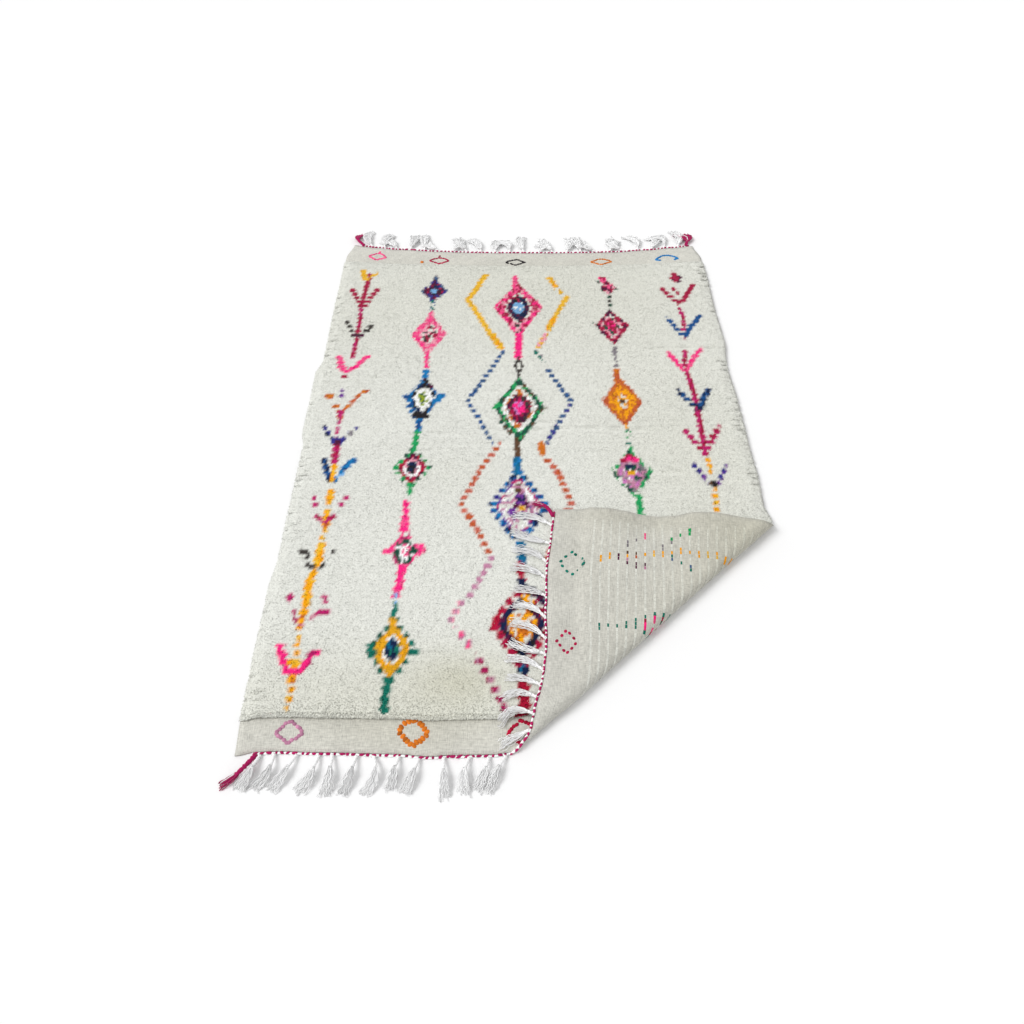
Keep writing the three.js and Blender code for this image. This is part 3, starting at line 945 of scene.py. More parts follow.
def side_columns() -> list[Stroke]:
    """Draws the two stems of arrows beside the selvedges.

    Returns:
        The marks.
    """
    d = Dye
    golden = (d.AMBER, d.AMBER, d.YELLOW)
    pinks = (d.HOT_PINK, d.PINK)
    return [
        Stroke((d.CRIMSON,), 2.0, (11.9, 200.5, 11.2, 189, 10.8, 179.5)),
        Stroke((d.CRIMSON, d.MAGENTA), 1.7, (10.8, 179, 11.2, 168, 11.2, 157, 10.8, 148.7)),
        Stroke((d.YELLOW,), 2.5, (8.7, 202, 9.5, 199, 10.3, 196.6)),
        Stroke((d.YELLOW,), 1.5, (12.4, 198.2, 14.6, 201)),
        Stroke((d.CRIMSON,), 2.1, (5.6, 190, 8, 184.8, 10.4, 179.2), 0.87),
        Stroke((d.CRIMSON,), 2.1, (12.4, 179.2, 14, 184.8, 15.9, 189.4), 0.87),
        Stroke((d.CHARCOAL,), 1.6, (6.2, 169, 8.8, 163.7, 10.2, 160.4), 0.75),
        Stroke((d.CHARCOAL,), 1.9, (12, 160.2, 14.6, 164, 16.5, 167.6), 0.87),
        Stroke((d.CHARCOAL, d.PLUM), 3.3, (10.4, 161, 12, 160.6)),
        Stroke(pinks, 2.2, (5.6, 148.2, 7, 145, 9.1, 141.4, 11.2, 140.9)),
        Stroke(pinks, 2.2, (11.2, 140.9, 13.2, 142.6, 14.8, 146.1, 16.6, 148.6)),
        Stroke((d.CRIMSON,), 1.9, (10.3, 137.2, 10.5, 137)),
        Stroke((d.PURPLE,), 1.5, (10.5, 131, 10.5, 126.6), 0.66),
        Stroke((d.ORANGE, d.RUST), 2.1, (5.3, 128.7, 7.3, 126.4), 0.87),
        Stroke((d.ORANGE, d.RUST), 1.7, (8.6, 123.6, 10.7, 119.5), 0.87),
        Stroke((d.ORANGE, d.RUST), 1.3, (11.5, 119.5, 13.2, 121.9, 16.8, 128.8, 18.9, 130)),
        Stroke((d.CORAL, d.MAGENTA), 2.1, (11.4, 119, 11.5, 116)),
        Stroke((d.MAGENTA, d.MAUVE), 1.2, (11.5, 115, 11.4, 107), 0.75),
        Stroke((d.CRIMSON, d.MAGENTA), 2.3, (11.4, 104, 11.6, 96.4)),
        Stroke((d.INDIGO, d.NAVY), 1.3, (6.4, 113.4, 8.2, 109.7, 9.8, 106.6), 0.87),
        Stroke((d.INDIGO, d.GREY), 1.1, (13, 105.6, 14.3, 107.3, 17.4, 111.6), 0.85),
        Stroke((d.PLUM, d.INDIGO), 3.1, (10.6, 105.6, 12.2, 105.6)),
        Stroke((d.BLUE, d.NAVY), 1.9, (8.1, 97, 9.9, 91.6, 11.3, 88.2)),
        Stroke((d.AZURE, d.SKY), 1.5, (12.8, 88.2, 14.8, 91.4), 0.87),
        Stroke((d.BLUE, d.AZURE), 2.4, (15.4, 93, 16.4, 94.8, 17.8, 96.8)),
        Stroke(golden, 1.7, (11.9, 94.6, 12.1, 87.4), 0.87),
        Stroke((d.CHARCOAL, d.NAVY), 1.2, (11, 87.6, 13.4, 87.2)),
        Stroke(golden, 2.3, (12.3, 83, 12.3, 79.4)),
        Stroke(golden, 2.0, (12.3, 76, 12.4, 75), 0.85),
        Stroke((d.ORANGE, d.AMBER), 2.5, (12.5, 73.4, 12.6, 70.4)),
        Stroke(golden, 1.4, (12.6, 67.8, 11.9, 64), 0.75),
        Stroke(golden, 2.5, (12.3, 62.8, 12.2, 56.2)),
        Stroke(golden, 2.1, (12, 53.8, 11.8, 51.4)),
        Stroke(golden, 2.5, (11.3, 49.8, 11.7, 42.4)),
        Stroke(golden, 2.3, (11.4, 39.8, 11.3, 38.4)),
        Stroke((d.AMBER, d.RUST), 1.5, (11.1, 37.6, 11, 34.6)),
        Stroke(golden, 1.3, (11.3, 33.4, 11.2, 29.4, 11.4, 26.5), 0.75),
        Stroke((d.MAGENTA,), 1.6, (7.3, 80.9, 8.6, 77.4), 0.85),
        Stroke((d.CRIMSON, d.MAGENTA), 1.6, (9.2, 73.6, 11.1, 71.8, 12.8, 71.7, 14.4, 73.8)),
        Stroke((d.MAGENTA,), 1.3, (15.4, 76.6, 17.6, 80.9), 0.75),
        Stroke((d.CHARCOAL,), 1.9, (6.5, 61.1, 8.8, 58.8)),
        Stroke((d.CHARCOAL,), 1.2, (9.3, 56, 11.8, 53.9, 13.1, 53.7, 14, 55.8)),
        Stroke((d.CHARCOAL,), 1.0, (15.1, 58.2, 17, 61.8), 0.87),
        Stroke((d.MAGENTA,), 1.6, (6.7, 44.8, 7, 43.6)),
        Stroke((d.CORD, d.MAGENTA), 0.9, (8.5, 40, 9.4, 37, 10.2, 35.4, 11.9, 35.4)),
        Stroke((d.MAGENTA,), 1.4, (13.6, 38, 16.1, 39.4, 17.6, 39.4)),
        Stroke((d.MAGENTA,), 1.6, (16.5, 44.3, 16.9, 43)),
        Stroke((d.HOT_PINK,), 2.2, (6.8, 28.5, 8.4, 24.6, 9.9, 21.7, 11.3, 20.4)),
        Stroke((d.HOT_PINK,), 2.2, (11.3, 20.4, 12.9, 21.3, 14.2, 23.6)),
        Stroke((d.HOT_PINK, d.MAGENTA), 2.1, (14.2, 23.6, 15.3, 26.2, 17, 27.6)),
        Stroke(golden, 2.8, (11, 24.4, 11.5, 24)),
        Stroke((d.ORANGE, d.AMBER), 2.0, (11.4, 19.6, 11.4, 18.4)),
        Stroke(golden, 1.8, (11.8, 16.8, 11.5, 12), 0.8),
        Stroke((d.CRIMSON, d.PLUM), 2.4, (136, 196.4, 137.6, 194.8, 138.8, 197.8)),
        Stroke((d.CRIMSON,), 2.1, (137, 200.4, 137.4, 195.6)),
        Stroke((d.CRIMSON,), 1.4, (135.4, 189.6, 136.8, 186.8), 0.85),
        Stroke((d.CRIMSON,), 2.1, (131.1, 190.2, 132.9, 185.6, 136, 180.4), 0.85),
        Stroke((d.CRIMSON,), 2.1, (136.4, 180.4, 138.4, 181.4, 143.2, 191.6)),
        Stroke((d.CRIMSON, d.MAGENTA), 1.6, (136.1, 178, 136.8, 171, 135.8, 159), 0.87),
        Stroke((d.BLUE,), 1.8, (130.9, 170.2, 132.3, 167, 134.2, 162, 135.6, 159.8), 0.85),
        Stroke((d.BLUE,), 1.8, (136.4, 159.8, 138.5, 165, 141, 168.2, 143.3, 171.9)),
        Stroke(pinks, 2.0, (128.7, 149.6, 131.4, 144, 133.6, 139.9)),
        Stroke(pinks, 2.0, (133.6, 139.9, 136, 143.6, 140.7, 151.8)),
        Stroke((d.CRIMSON, d.MAGENTA), 1.8, (134.9, 151, 133.7, 141), 0.87),
        Stroke((d.CRIMSON, d.MAGENTA), 2.1, (134.2, 138.6, 134.9, 127, 134.6, 110, 134.3, 99)),
        Stroke((d.BLUE, d.NAVY), 2.3, (129.6, 129, 131.1, 126.4, 134.2, 120.8), 0.87),
        Stroke((d.BLUE, d.NAVY), 2.4, (135.8, 120.6, 138.1, 126.1, 140.3, 129.5)),
        Stroke((d.MAGENTA, d.CRIMSON), 2.1, (129, 109.5, 131.8, 103.6, 133.6, 101), 0.87),
        Stroke((d.MAGENTA, d.CRIMSON), 2.1, (135.4, 101, 137.7, 105.6, 140.9, 110.9), 0.87),
        Stroke(golden, 1.7, (134.6, 97.4, 134.5, 91.6), 0.87),
        Stroke((d.INDIGO, d.PURPLE), 1.4, (129.6, 94, 132.8, 86.6), 0.85),
        Stroke((d.INDIGO, d.PURPLE), 1.4, (136.4, 86.4, 140.3, 93.4), 0.85),
        Stroke((d.BROWN, d.BLACK), 2.4, (134.5, 85.9, 134.9, 85.2)),
        Stroke(golden, 1.9, (134.7, 82.6, 134, 75.6), 0.87),
        Stroke(golden, 1.4, (134, 72, 134, 56, 135, 50, 136.4, 36, 134.9, 25, 132.3, 13)),
        Stroke((d.BROWN, d.RUST), 1.8, (134.8, 24.2, 134.8, 22.4)),
        Stroke((d.MAUVE, d.PLUM), 1.4, (130.8, 26.2, 131.2, 22.2, 133.4, 19)),
        Stroke((d.PINK, d.GREY), 1.4, (136.2, 20.4, 139, 23, 141.7, 26.2), 0.87),
        Stroke((d.SLATE, d.TEAL), 1.4, (130.7, 39, 132.5, 36.8, 134.6, 34)),
        Stroke((d.GREEN, d.GREY), 1.4, (138.2, 32.4, 141.7, 35.4, 142.8, 40)),
    ]


def second_column() -> list[Stroke | Lozenge]:
    """Draws the lozenges left of the middle, on their stem.

    Returns:
        The marks.
    """
    d = Dye
    pinks = (d.HOT_PINK, d.HOT_PINK, d.PINK)
    night = (
        (0.9, (d.SLATE, d.INDIGO, d.IVORY, d.PLUM)),
        (1.7, (d.INDIGO, d.PLUM, d.PLUM, d.CRIMSON)),
        (1.5, (d.NAVY, d.BLACK, d.PLUM)),
        (9, (d.SKY,)),
    )
    rose = (
        (2.6, (d.HOT_PINK, d.PINK, d.PINK, d.ROSE)),
        (0.9, (d.ROSE, d.IVORY, d.PINK)),
        (9, (d.IVORY, d.CHARCOAL, d.ROSE, d.CRIMSON)),
    )
    jet = (
        (1.3, (d.AZURE, d.BLUE, d.PETROL)),
        (1.2, (d.BLACK, d.BLACK, d.NAVY, d.IVORY)),
        (1.5, (d.IVORY, d.COTTON)),
        (9, (d.COTTON, d.LIME, d.LIME)),
    )
    petals = (
        (1.7, (d.GREEN, d.PINE, d.GREEN)),
        (1.6, (d.CRIMSON, d.RED, d.PLUM)),
        (1.3, (d.COTTON, d.ROSE, d.COTTON)),
        (9, (d.NAVY, d.BLACK)),
    )
    frost = (
        (1.6, (d.HOT_PINK, d.MAGENTA, d.IVORY, d.PINK)),
        (1.4, (d.COTTON, d.PINE)),
        (9, (d.COTTON, d.COTTON, d.PINK)),
    )
    sun = (
        (1.7, (d.TEAL, d.PINE, d.TEAL)),
        (2.1, (d.GOLD, d.GOLD, d.AMBER, d.GOLD)),
        (0.7, (d.IVORY, d.GOLD, d.COTTON)),
        (9, (d.NAVY, d.PETROL, d.TEAL, d.NAVY)),
    )
    return [
        Stroke((d.SLATE, d.PLUM, d.GREY), 1.9, (39.2, 198.2, 39.3, 194)),
        Lozenge(39, 196.4, 188.7, 181.2, 5.5, night),
        Stroke((d.SLATE, d.TEAL, d.IVORY), 1.7, (39, 182.4, 38.9, 176.4)),
        Stroke((d.ROSE, d.PINK), 2.1, (38.9, 175, 38.4, 170)),
        Lozenge(38.7, 173.6, 161.3, 149, 6.8, rose),
        Stroke((d.PINK, d.HOT_PINK, d.ROSE), 1.7, (38.5, 151, 38.9, 142.6)),
        Stroke((d.AZURE,), 2.2, (38.9, 141, 38.6, 135)),
        Lozenge(38.8, 137.2, 126.5, 113.4, 6.1, jet),
        Stroke((d.BLACK, d.PLUM), 1.4, (38.6, 136, 41.4, 131.6)),
        Stroke((d.AZURE, d.BLUE), 2.5, (32.9, 126.8, 34.3, 125.4)),
        Stroke((d.AZURE,), 2.6, (43, 124.6, 45.2, 127.1)),
        Stroke((d.AZURE, d.BLUE), 1.3, (33.4, 124, 35, 119, 36.8, 115.5), 0.87),
        Stroke((d.LIME, d.PINE), 1.9, (38.4, 127.4, 38.5, 124.2)),
        Stroke((d.BLACK,), 2.9, (36.8, 118, 40, 117)),
        Stroke((d.BLUE, d.AZURE), 2.0, (38, 115.5, 38.1, 109.6)),
        Stroke((d.GREEN,), 1.9, (37.9, 109, 37.6, 104, 37, 100)),
        Lozenge(37.3, 103.4, 93.3, 84.1, 6.6, petals, 0.85),
        Stroke((d.GREEN,), 1.6, (37.3, 86, 37.3, 82.4)),
        Stroke(pinks, 1.7, (36.5, 79.4, 36.7, 73.4)),
        Stroke(pinks, 2.6, (36.8, 72, 36.9, 66)),
        Lozenge(37.6, 67.4, 60.4, 52.4, 5.4, frost),
        Stroke(pinks, 2.6, (32.5, 60.4, 33.3, 60.7)),
        Stroke(pinks, 2.5, (42.1, 61.4, 42.9, 61.2)),
        Stroke((d.PINE,), 1.3, (35.4, 60, 36.6, 56)),
        Stroke((d.PINE,), 1.2, (39.4, 59.8, 41.2, 61)),
        Stroke(pinks, 2.4, (37.2, 54, 37.1, 49, 36.5, 45)),
        Stroke((d.TEAL, d.SKY), 1.3, (36.2, 44.4, 36.7, 41), 0.87),
        Stroke((d.TEAL,), 1.8, (36.7, 41, 36.2, 37.4)),
        Lozenge(36.8, 38.8, 27.8, 16.2, 6.9, sun, 0.9, 0.4),
        Stroke((d.TEAL,), 2.4, (30.8, 28, 31.6, 27.8)),
        Stroke((d.TEAL,), 2.4, (42.3, 27.2, 43.1, 27)),
        Stroke((d.GOLD,), 2.6, (36.3, 36, 36.5, 35.6)),
        Stroke((d.TEAL,), 2.2, (36.6, 17.6, 36.2, 14, 36.4, 10.8)),
    ]


def middle_column() -> list[Stroke | Lozenge]:
    """Draws the large lozenges of the middle, on their stem.

    Returns:
        The marks.
    """
    d = Dye
    pinks = (d.HOT_PINK, d.PINK)
    heart = (
        (2.4, (d.HOT_PINK, d.PINK, d.HOT_PINK, d.ROSE, d.CRIMSON)),
        (1.2, (d.PINK, d.CRIMSON, d.ROSE)),
        (1.1, (d.IVORY, d.CRIMSON, d.IVORY)),
        (2.4, (d.NAVY, d.NAVY, d.PLUM)),
        (9, (d.SKY, d.SKY, d.COTTON)),
    )
    leaf = (
        (2.4, (d.GREEN, d.PINE, d.PINE, d.BROWN)),
        (1.1, (d.IVORY, d.COTTON, d.IVORY)),
        (0.9, (d.IVORY, d.ORANGE, d.COTTON)),
        (2.5, (d.CRIMSON, d.PLUM, d.PLUM, d.CHARCOAL)),
        (9, (d.HOT_PINK, d.ORCHID, d.HOT_PINK)),
    )
    dotted = (
        (2.5, (d.BLUE, d.NAVY, d.AZURE, d.INDIGO)),
        (0.9, (d.MAGENTA, d.PURPLE, d.IVORY)),
        (2.2, (d.IVORY, d.COTTON, d.MAUVE)),
        (9, (d.MAUVE, d.PURPLE, d.IVORY, d.PLUM)),
    )
    ember = (
        (2.7, (d.CRIMSON, d.RED)),
        (2.3, (d.NAVY, d.NAVY, d.PLUM, d.BLACK)),
        (1.6, (d.AMBER, d.IVORY, d.ORANGE)),
        (9, (d.IVORY, d.AMBER, d.ORANGE)),
    )
    return [
        Stroke(pinks, 2.2, (71.9, 198.2, 71.8, 189)),
        Lozenge(73, 194, 177.6, 159, 9.7, heart),
        Stroke((d.BLACK, d.CRIMSON), 2.2, (72.2, 183.4, 72.6, 181.6)),
        Stroke((d.ROSE, d.CHARCOAL, d.IVORY), 2.5, (72.8, 168, 72.9, 163)),
        Stroke((d.HOT_PINK,), 2.8, (73, 161, 72.5, 147.8)),
        Stroke((d.CHARCOAL,), 1.0, (72.5, 147.4, 71.4, 143, 72.8, 139.4)),
        Stroke((d.CHARCOAL,), 1.0, (72.5, 147.4, 74.1, 143, 72.8, 139.4, 72.3, 135.4)),
        Lozenge(72.7, 137, 121.3, 104.4, 9.2, leaf),
        Stroke((d.BROWN,), 1.5, (80.4, 120.6, 82.2, 120.8)),
        Stroke((d.BROWN, d.PINE), 1.3, (65.6, 116, 69.4, 109), 0.87),
        Stroke((d.ORANGE,), 1.9, (72.6, 129, 73.2, 128.4)),
        Stroke((d.ORANGE,), 1.9, (71.4, 113, 72, 112.4)),
        Stroke((d.BROWN,), 2.0, (71.6, 105.6, 71.9, 98)),
        Lozenge(71.9, 93.6, 77.2, 60.8, 10.0, dotted, 0.86, 0.0),
        Stroke((d.PETROL, d.AZURE), 2.6, (71.8, 97, 71.4, 91)),
        Stroke((d.BROWN, d.MAUVE), 2.7, (72.2, 84.6, 72.4, 83.4)),
        Stroke((d.NAVY, d.PURPLE), 3.2, (72.4, 80.8, 72.6, 79.6)),
        Stroke((d.GOLD,), 1.9, (72.5, 76.9, 73.1, 76.7)),
        Stroke((d.NAVY, d.PETROL), 1.2, (70.6, 74.2, 74.6, 73.8)),
        Stroke((d.PETROL,), 2.5, (72.4, 62.4, 72.7, 56)),
        Stroke((d.RED,), 2.1, (72, 55.6, 72.6, 49), 1, 0.3),
        Lozenge(72.3, 48, 35.6, 20, 9.6, ember, 0.97, 0.4),
        Stroke((d.AMBER, d.ORANGE), 3.1, (72.2, 33.6, 72.4, 32.6)),
        Stroke((d.NAVY, d.PLUM), 2.6, (73.6, 47, 77.6, 44.4, 80, 40.4)),
        Stroke((d.NAVY,), 2.7, (72.3, 49, 72.5, 48.4)),
        Stroke((d.IVORY, d.AMBER), 2.6, (73.4, 43.8, 74.6, 42.6)),
        Stroke((d.NAVY, d.PETROL), 3.2, (72.4, 22, 72.6, 20.8)),
        Stroke((d.RED,), 3.0, (72.5, 17.4, 72.4, 14.2), 1, 0.3),
        Stroke((d.RED,), 3.4, (72.6, 12, 71.9, 9.6), 1, 0.3),
    ]


def fourth_column() -> list[Stroke | Lozenge]:
    """Draws the lozenges right of the middle, on their stem.

    Returns:
        The marks.
    """
    d = Dye
    wine = (
        (1.9, (d.CRIMSON, d.CRIMSON, d.PLUM)),
        (1.2, (d.ROSE, d.CRIMSON, d.IVORY)),
        (1.5, (d.CRIMSON, d.PINE, d.ROSE)),
        (9, (d.HOT_PINK, d.CRIMSON)),
    )
    flame = (
        (1.7, (d.RUST, d.ORANGE, d.RUST)),
        (3.2, (d.AMBER, d.AMBER, d.ORANGE)),
        (9, (d.AMBER, d.IVORY)),
    )
    bloom = (
        (1.6, (d.GREEN, d.PINE, d.GREEN, d.IVORY)),
        (2.4, (d.MAUVE, d.ORCHID, d.MAUVE, d.GREY)),
        (9, (d.ORCHID, d.PINE, d.COTTON, d.MAUVE)),
    )
    berry = ((1.5, (d.TEAL,)), (1.6, (d.HOT_PINK, d.CRIMSON)), (9, (d.PINK, d.PINE, d.IVORY)))
    return [
        Stroke((d.PINE, d.CHARCOAL), 1.3, (107.2, 188.4, 107.4, 188.2)),
        Stroke((d.PINE, d.CHARCOAL), 1.3, (112.6, 190, 112.8, 189.8)),
        Stroke((d.PINE, d.CHARCOAL), 1.2, (105.8, 194, 106, 193.8)),
        Stroke((d.PINK, d.HOT_PINK, d.CRIMSON), 2.9, (107.6, 196.6, 109, 193.4)),
        Lozenge(109.7, 195.4, 190.4, 185, 3.1, ((9, (d.PINK, d.ROSE, d.CRIMSON, d.PLUM)),)),
        Stroke((d.PINE, d.CHARCOAL), 1.3, (109.6, 185, 109.3, 177), 0.85),
        Lozenge(109, 176.2, 166.3, 154, 6.7, wine),
        Stroke((d.PINE,), 1.3, (102, 167.4, 103, 167)),
        Stroke((d.GREY, d.IVORY, d.GREY), 1.5, (109, 152.6, 108.2, 147, 108.5, 142)),
        Stroke((d.ORANGE, d.RUST), 2.2, (108.4, 140.4, 108.1, 134)),
        Lozenge(108.9, 137.6, 124, 111, 7.1, flame),
        Stroke((d.IVORY, d.AMBER), 3.3, (108.9, 124, 109.2, 123.6)),
        Stroke((d.BROWN,), 1.8, (108.8, 124, 109.2, 123.6)),
        Stroke((d.AMBER, d.IVORY), 1.2, (109, 112.6, 109.3, 110), 0.87),
        Stroke((d.GREEN, d.TEAL, d.IVORY), 1.5, (109.5, 109.4, 109.1, 105, 109.6, 99)),
        Lozenge(108.9, 101.2, 91.3, 79.8, 7, bloom),
        Stroke((d.CRIMSON, d.HOT_PINK), 1.9, (106.8, 96.2, 108.8, 98, 110.8, 96.4)),
        Stroke((d.NAVY,), 2.0, (108.3, 93.8, 108.5, 93.2)),
        Stroke((d.GOLD,), 2.0, (108.5, 90.9, 108.9, 90.5)),
        Stroke((d.PINE,), 2.0, (110.2, 88.8, 110.6, 88.4)),
        Stroke((d.GREEN,), 2.0, (109.7, 81.6, 109.9, 78, 109.4, 68)),
        Lozenge(109.4, 67.6, 60, 52, 6, berry),
        Stroke((d.PETROL,), 1.7, (109.4, 52, 109.4, 44)),
        Lozenge(111, 42, 31, 20.5, 4.9, berry),
        Stroke((d.TEAL,), 1.4, (109.5, 21, 109.2, 13.4), 0.85),
    ]


def zigzags() -> list[Stroke]:
    """Draws the two zigzags that frame the middle.

    Returns:
        The marks.
    """
    d = Dye
    return [
        Stroke((d.YELLOW,), 2.3, (59.9, 200, 55.5, 188.4, 52.9, 183)),
        Stroke((d.YELLOW,), 2.2, (52.9, 183, 58, 171, 62.1, 161.5)),
        Stroke((d.YELLOW, d.AMBER), 2.8, (62.4, 161, 66, 153.8)),
        Stroke((d.BLUE, d.SLATE), 1.6, (67.3, 151.6, 62.8, 141.2, 54.7, 125), 0.81),
        Stroke((d.SLATE, d.BLUE), 1.4, (54.9, 123.6, 59.7, 113.3, 63.3, 104.8), 0.79),
        Stroke((d.CORAL, d.RUST), 1.7, (65.6, 103.4, 60.6, 94.7, 54, 79), 0.85),
        Stroke((d.RUST, d.CORAL), 1.7, (54.2, 77, 58.6, 69.3, 62.6, 60), 0.85),
        Stroke((d.MAUVE,), 1.6, (63.7, 58.2, 61.6, 53, 57.5, 44.5), 0.79),
        Stroke((d.MAUVE, d.ROSE), 1.7, (55.6, 42.9, 52.3, 37.3, 53.6, 35.3), 0.85),
        Stroke((d.MAUVE, d.PINK), 1.3, (55, 32.6, 58.6, 28), 0.85),
        Stroke((d.MAUVE, d.CORD), 1.7, (59.7, 25.5, 63.2, 19.6, 67.6, 11), 0.75),
        Stroke((d.YELLOW, d.AMBER), 2.3, (86, 197, 88.4, 191)),
        Stroke((d.YELLOW, d.IVORY), 1.9, (88.8, 190, 92.5, 184.4)),
        Stroke((d.YELLOW,), 2.1, (92.4, 184, 86.9, 170.8)),
        Stroke((d.YELLOW, d.AMBER), 2.6, (86.6, 170, 84.4, 164.6)),
        Stroke((d.YELLOW, d.ROSE), 2.1, (83.4, 161, 80.4, 154)),
        Stroke((d.GREY, d.TEAL, d.IVORY), 1.4, (78.6, 151, 80.4, 149.2, 82.4, 144), 0.79),
        Stroke((d.BLUE, d.SLATE), 1.7, (83, 141.4, 88, 130.4, 91.4, 123.6), 0.85),
        Stroke((d.SLATE, d.INDIGO), 1.7, (91, 123, 86.6, 115, 82, 104.8), 0.85),
        Stroke((d.ORANGE,), 2.4, (79.8, 103.4, 80.2, 99.6)),
        Stroke((d.CORAL, d.RUST), 2.1, (81.3, 97.4, 84.8, 91, 88.2, 79), 0.85),
        Stroke((d.CORAL,), 2.4, (88.4, 78, 86.2, 73, 80.4, 57), 0.85),
        Stroke((d.MAUVE,), 1.6, (80.4, 55, 91.5, 33, 79, 12), 0.79),
    ]


class Pattern:
    """The dyed motifs on the ivory, later marks over earlier ones."""

    tuft_width = 9.4
    brick_step = 0.37
    swing = (2.4, 3.0)
    swing_across = (37.0, 110.0)
    swing_along = (31.0, 90.0)
    hash_steps = (12.9898, 78.233)
    hash_scale = 43758.5453
    stray = np.array([0.3, 0.3])
    ragged = 0.14
    samples = 3

    def __init__(self, seed: int = 17) -> None:
        """Gathers the marks.

        Args:
            seed: of the ragged edges.
        """
        self.marks = side_columns() + second_column() + middle_column()
        self.marks += fourth_column() + zigzags()
        self.rng = np.random.default_rng(seed)

    def tufts_at(self, u: Array, v: Array) -> tuple[Array, Array]:
        """Tells which tufts places belong to.

        Args:
            u: across the cloth.
            v: along it.

        Returns:
            Four numbers from 0 to 1 for each place, the same all over a tuft, and the place's
            offset from the tuft's middle, in millimetres.
        """
        level = 2 * KNOTS.row_seen(v + self.swing[1] * waver(u, v, self.swing_along))
        half_row = np.rint(level)
        seat = u + self.swing[0] * waver(v, u, self.swing_across)
        seat = seat / self.tuft_width + self.brick_step * half_row
        column = np.floor(seat)
        waves = self.hash_steps[0] * column + self.hash_steps[1] * half_row + np.arange(4)[:, None]
        waves = np.sin(waves) * self.hash_scale
        aside = (seat - column - 0.5) * self.tuft_width, (level - half_row) * KNOTS.row_pitch / 2
        return waves - np.floor(waves), np.stack(aside, -1)

    def dyes_at(self, u: Array, v: Array) -> Array:
        """Tells which dye shows at places of the cloth.

        Args:
            u: across the cloth.
            v: along it.

        Returns:
            The dyes' numbers.
        """
        (pick, *stray, _), aside = self.tufts_at(u, v)
        spots = np.stack([u, v], -1) / CM
        spots = spots + (np.stack(stray, -1) - 0.5) * self.stray
        spots = spots + self.rng.normal(0, self.ragged, spots.shape)
        dyes = np.zeros(len(spots), int)
        for mark in self.marks:
            low, high = mark.reach()
            near = np.flatnonzero(((spots > low) & (spots < high)).all(1))
            drawn = mark.cling * aside[near]
            row = KNOTS.row_seen(v[near] - drawn[:, 1])
            inside, chosen = mark.choose(spots[near] - drawn / CM, row, pick[near])
            dyes[near[inside]] = chosen[inside]
        return dyes

    def colours_at(self, u: Array, v: Array) -> tuple[Array, Array]:
        """Gives the wool's colours, mixed where two yarns meet.

        Args:
            u: across the cloth.
            v: along it.

        Returns:
            Linear colours, and how much of each is dyed yarn.
        """
        dyes = np.stack([self.dyes_at(u, v) for _ in range(self.samples)])
        return PALETTE[dyes].mean(0), (dyes > 0).mean(0)


# Old fold lines that press the pile down, and how deep.
CREASES = Table("v left right depth", [
    (1045, 430, 760, 4.0), (1105, 560, 1180, 6.0), (1140, 620, 900, 4.0),
    (1370, 0, 250, 6.0), (1525, 1180, 1500, 6.0), (1090, 380, 560, 4.0),
    (905, 980, 1290, 3.0), (262, 120, 520, 3.0), (1000, 900, 1060, 3.0),
])
# Spots that use has yellowed on the face: middle, half size and share.
SOIL = Table("u v across along amount", [
    (560, 190, 130, 80, 0.55), (350, 150, 480, 130, 0.40), (850, 1900, 800, 420, 0.34),
    (1300, 1000, 320, 520, 0.30), (100, 1700, 260, 400, 0.12), (480, 900, 160, 120, 0.12),
    (430, 45, 190, 60, 0.2),
])
# Painted shade on the back, same columns: darker, yellower near the fold and the flap's free edges.
BACK_PAINTED_SHADE = Table("u v across along amount", [
    (1430, 640, 170, 170, 0.55), (1290, 500, 170, 150, 0.30), (1480, 300, 60, 260, 0.35),
    (1050, 330, 260, 160, 0.22), (1380, 130, 200, 90, 0.14), (1100, 350, 700, 500, 0.16),
])


# How much of the wool's red, green and blue a full tint takes, which leaves it yellower.
# Used both for stains on the face and for painted shade on the back.
SOIL_AND_SHADE_TINT = np.array([0.21, 0.23, 0.33])


def stains_and_painted_shade(u: Array, v: Array, tinted_spots: Table = SOIL) -> Array:
    """Tells how the wool is darkened and yellowed: face stains, and painted shade on the back.

    Args:
        u: across the cloth.
        v: along it.
        tinted_spots: the face's stains by default; for the back, its painted shade.

    Returns:
        Factors of the wool's colour, one row for each place.
    """
    amount = np.zeros_like(u)
    for row in tinted_spots.rows():
        way = ((u - row["u"]) / row["across"]) ** 2 + ((v - row["v"]) / row["along"]) ** 2
        amount = amount + row["amount"] * np.exp(-way)
    return 1 - amount[..., None] * SOIL_AND_SHADE_TINT


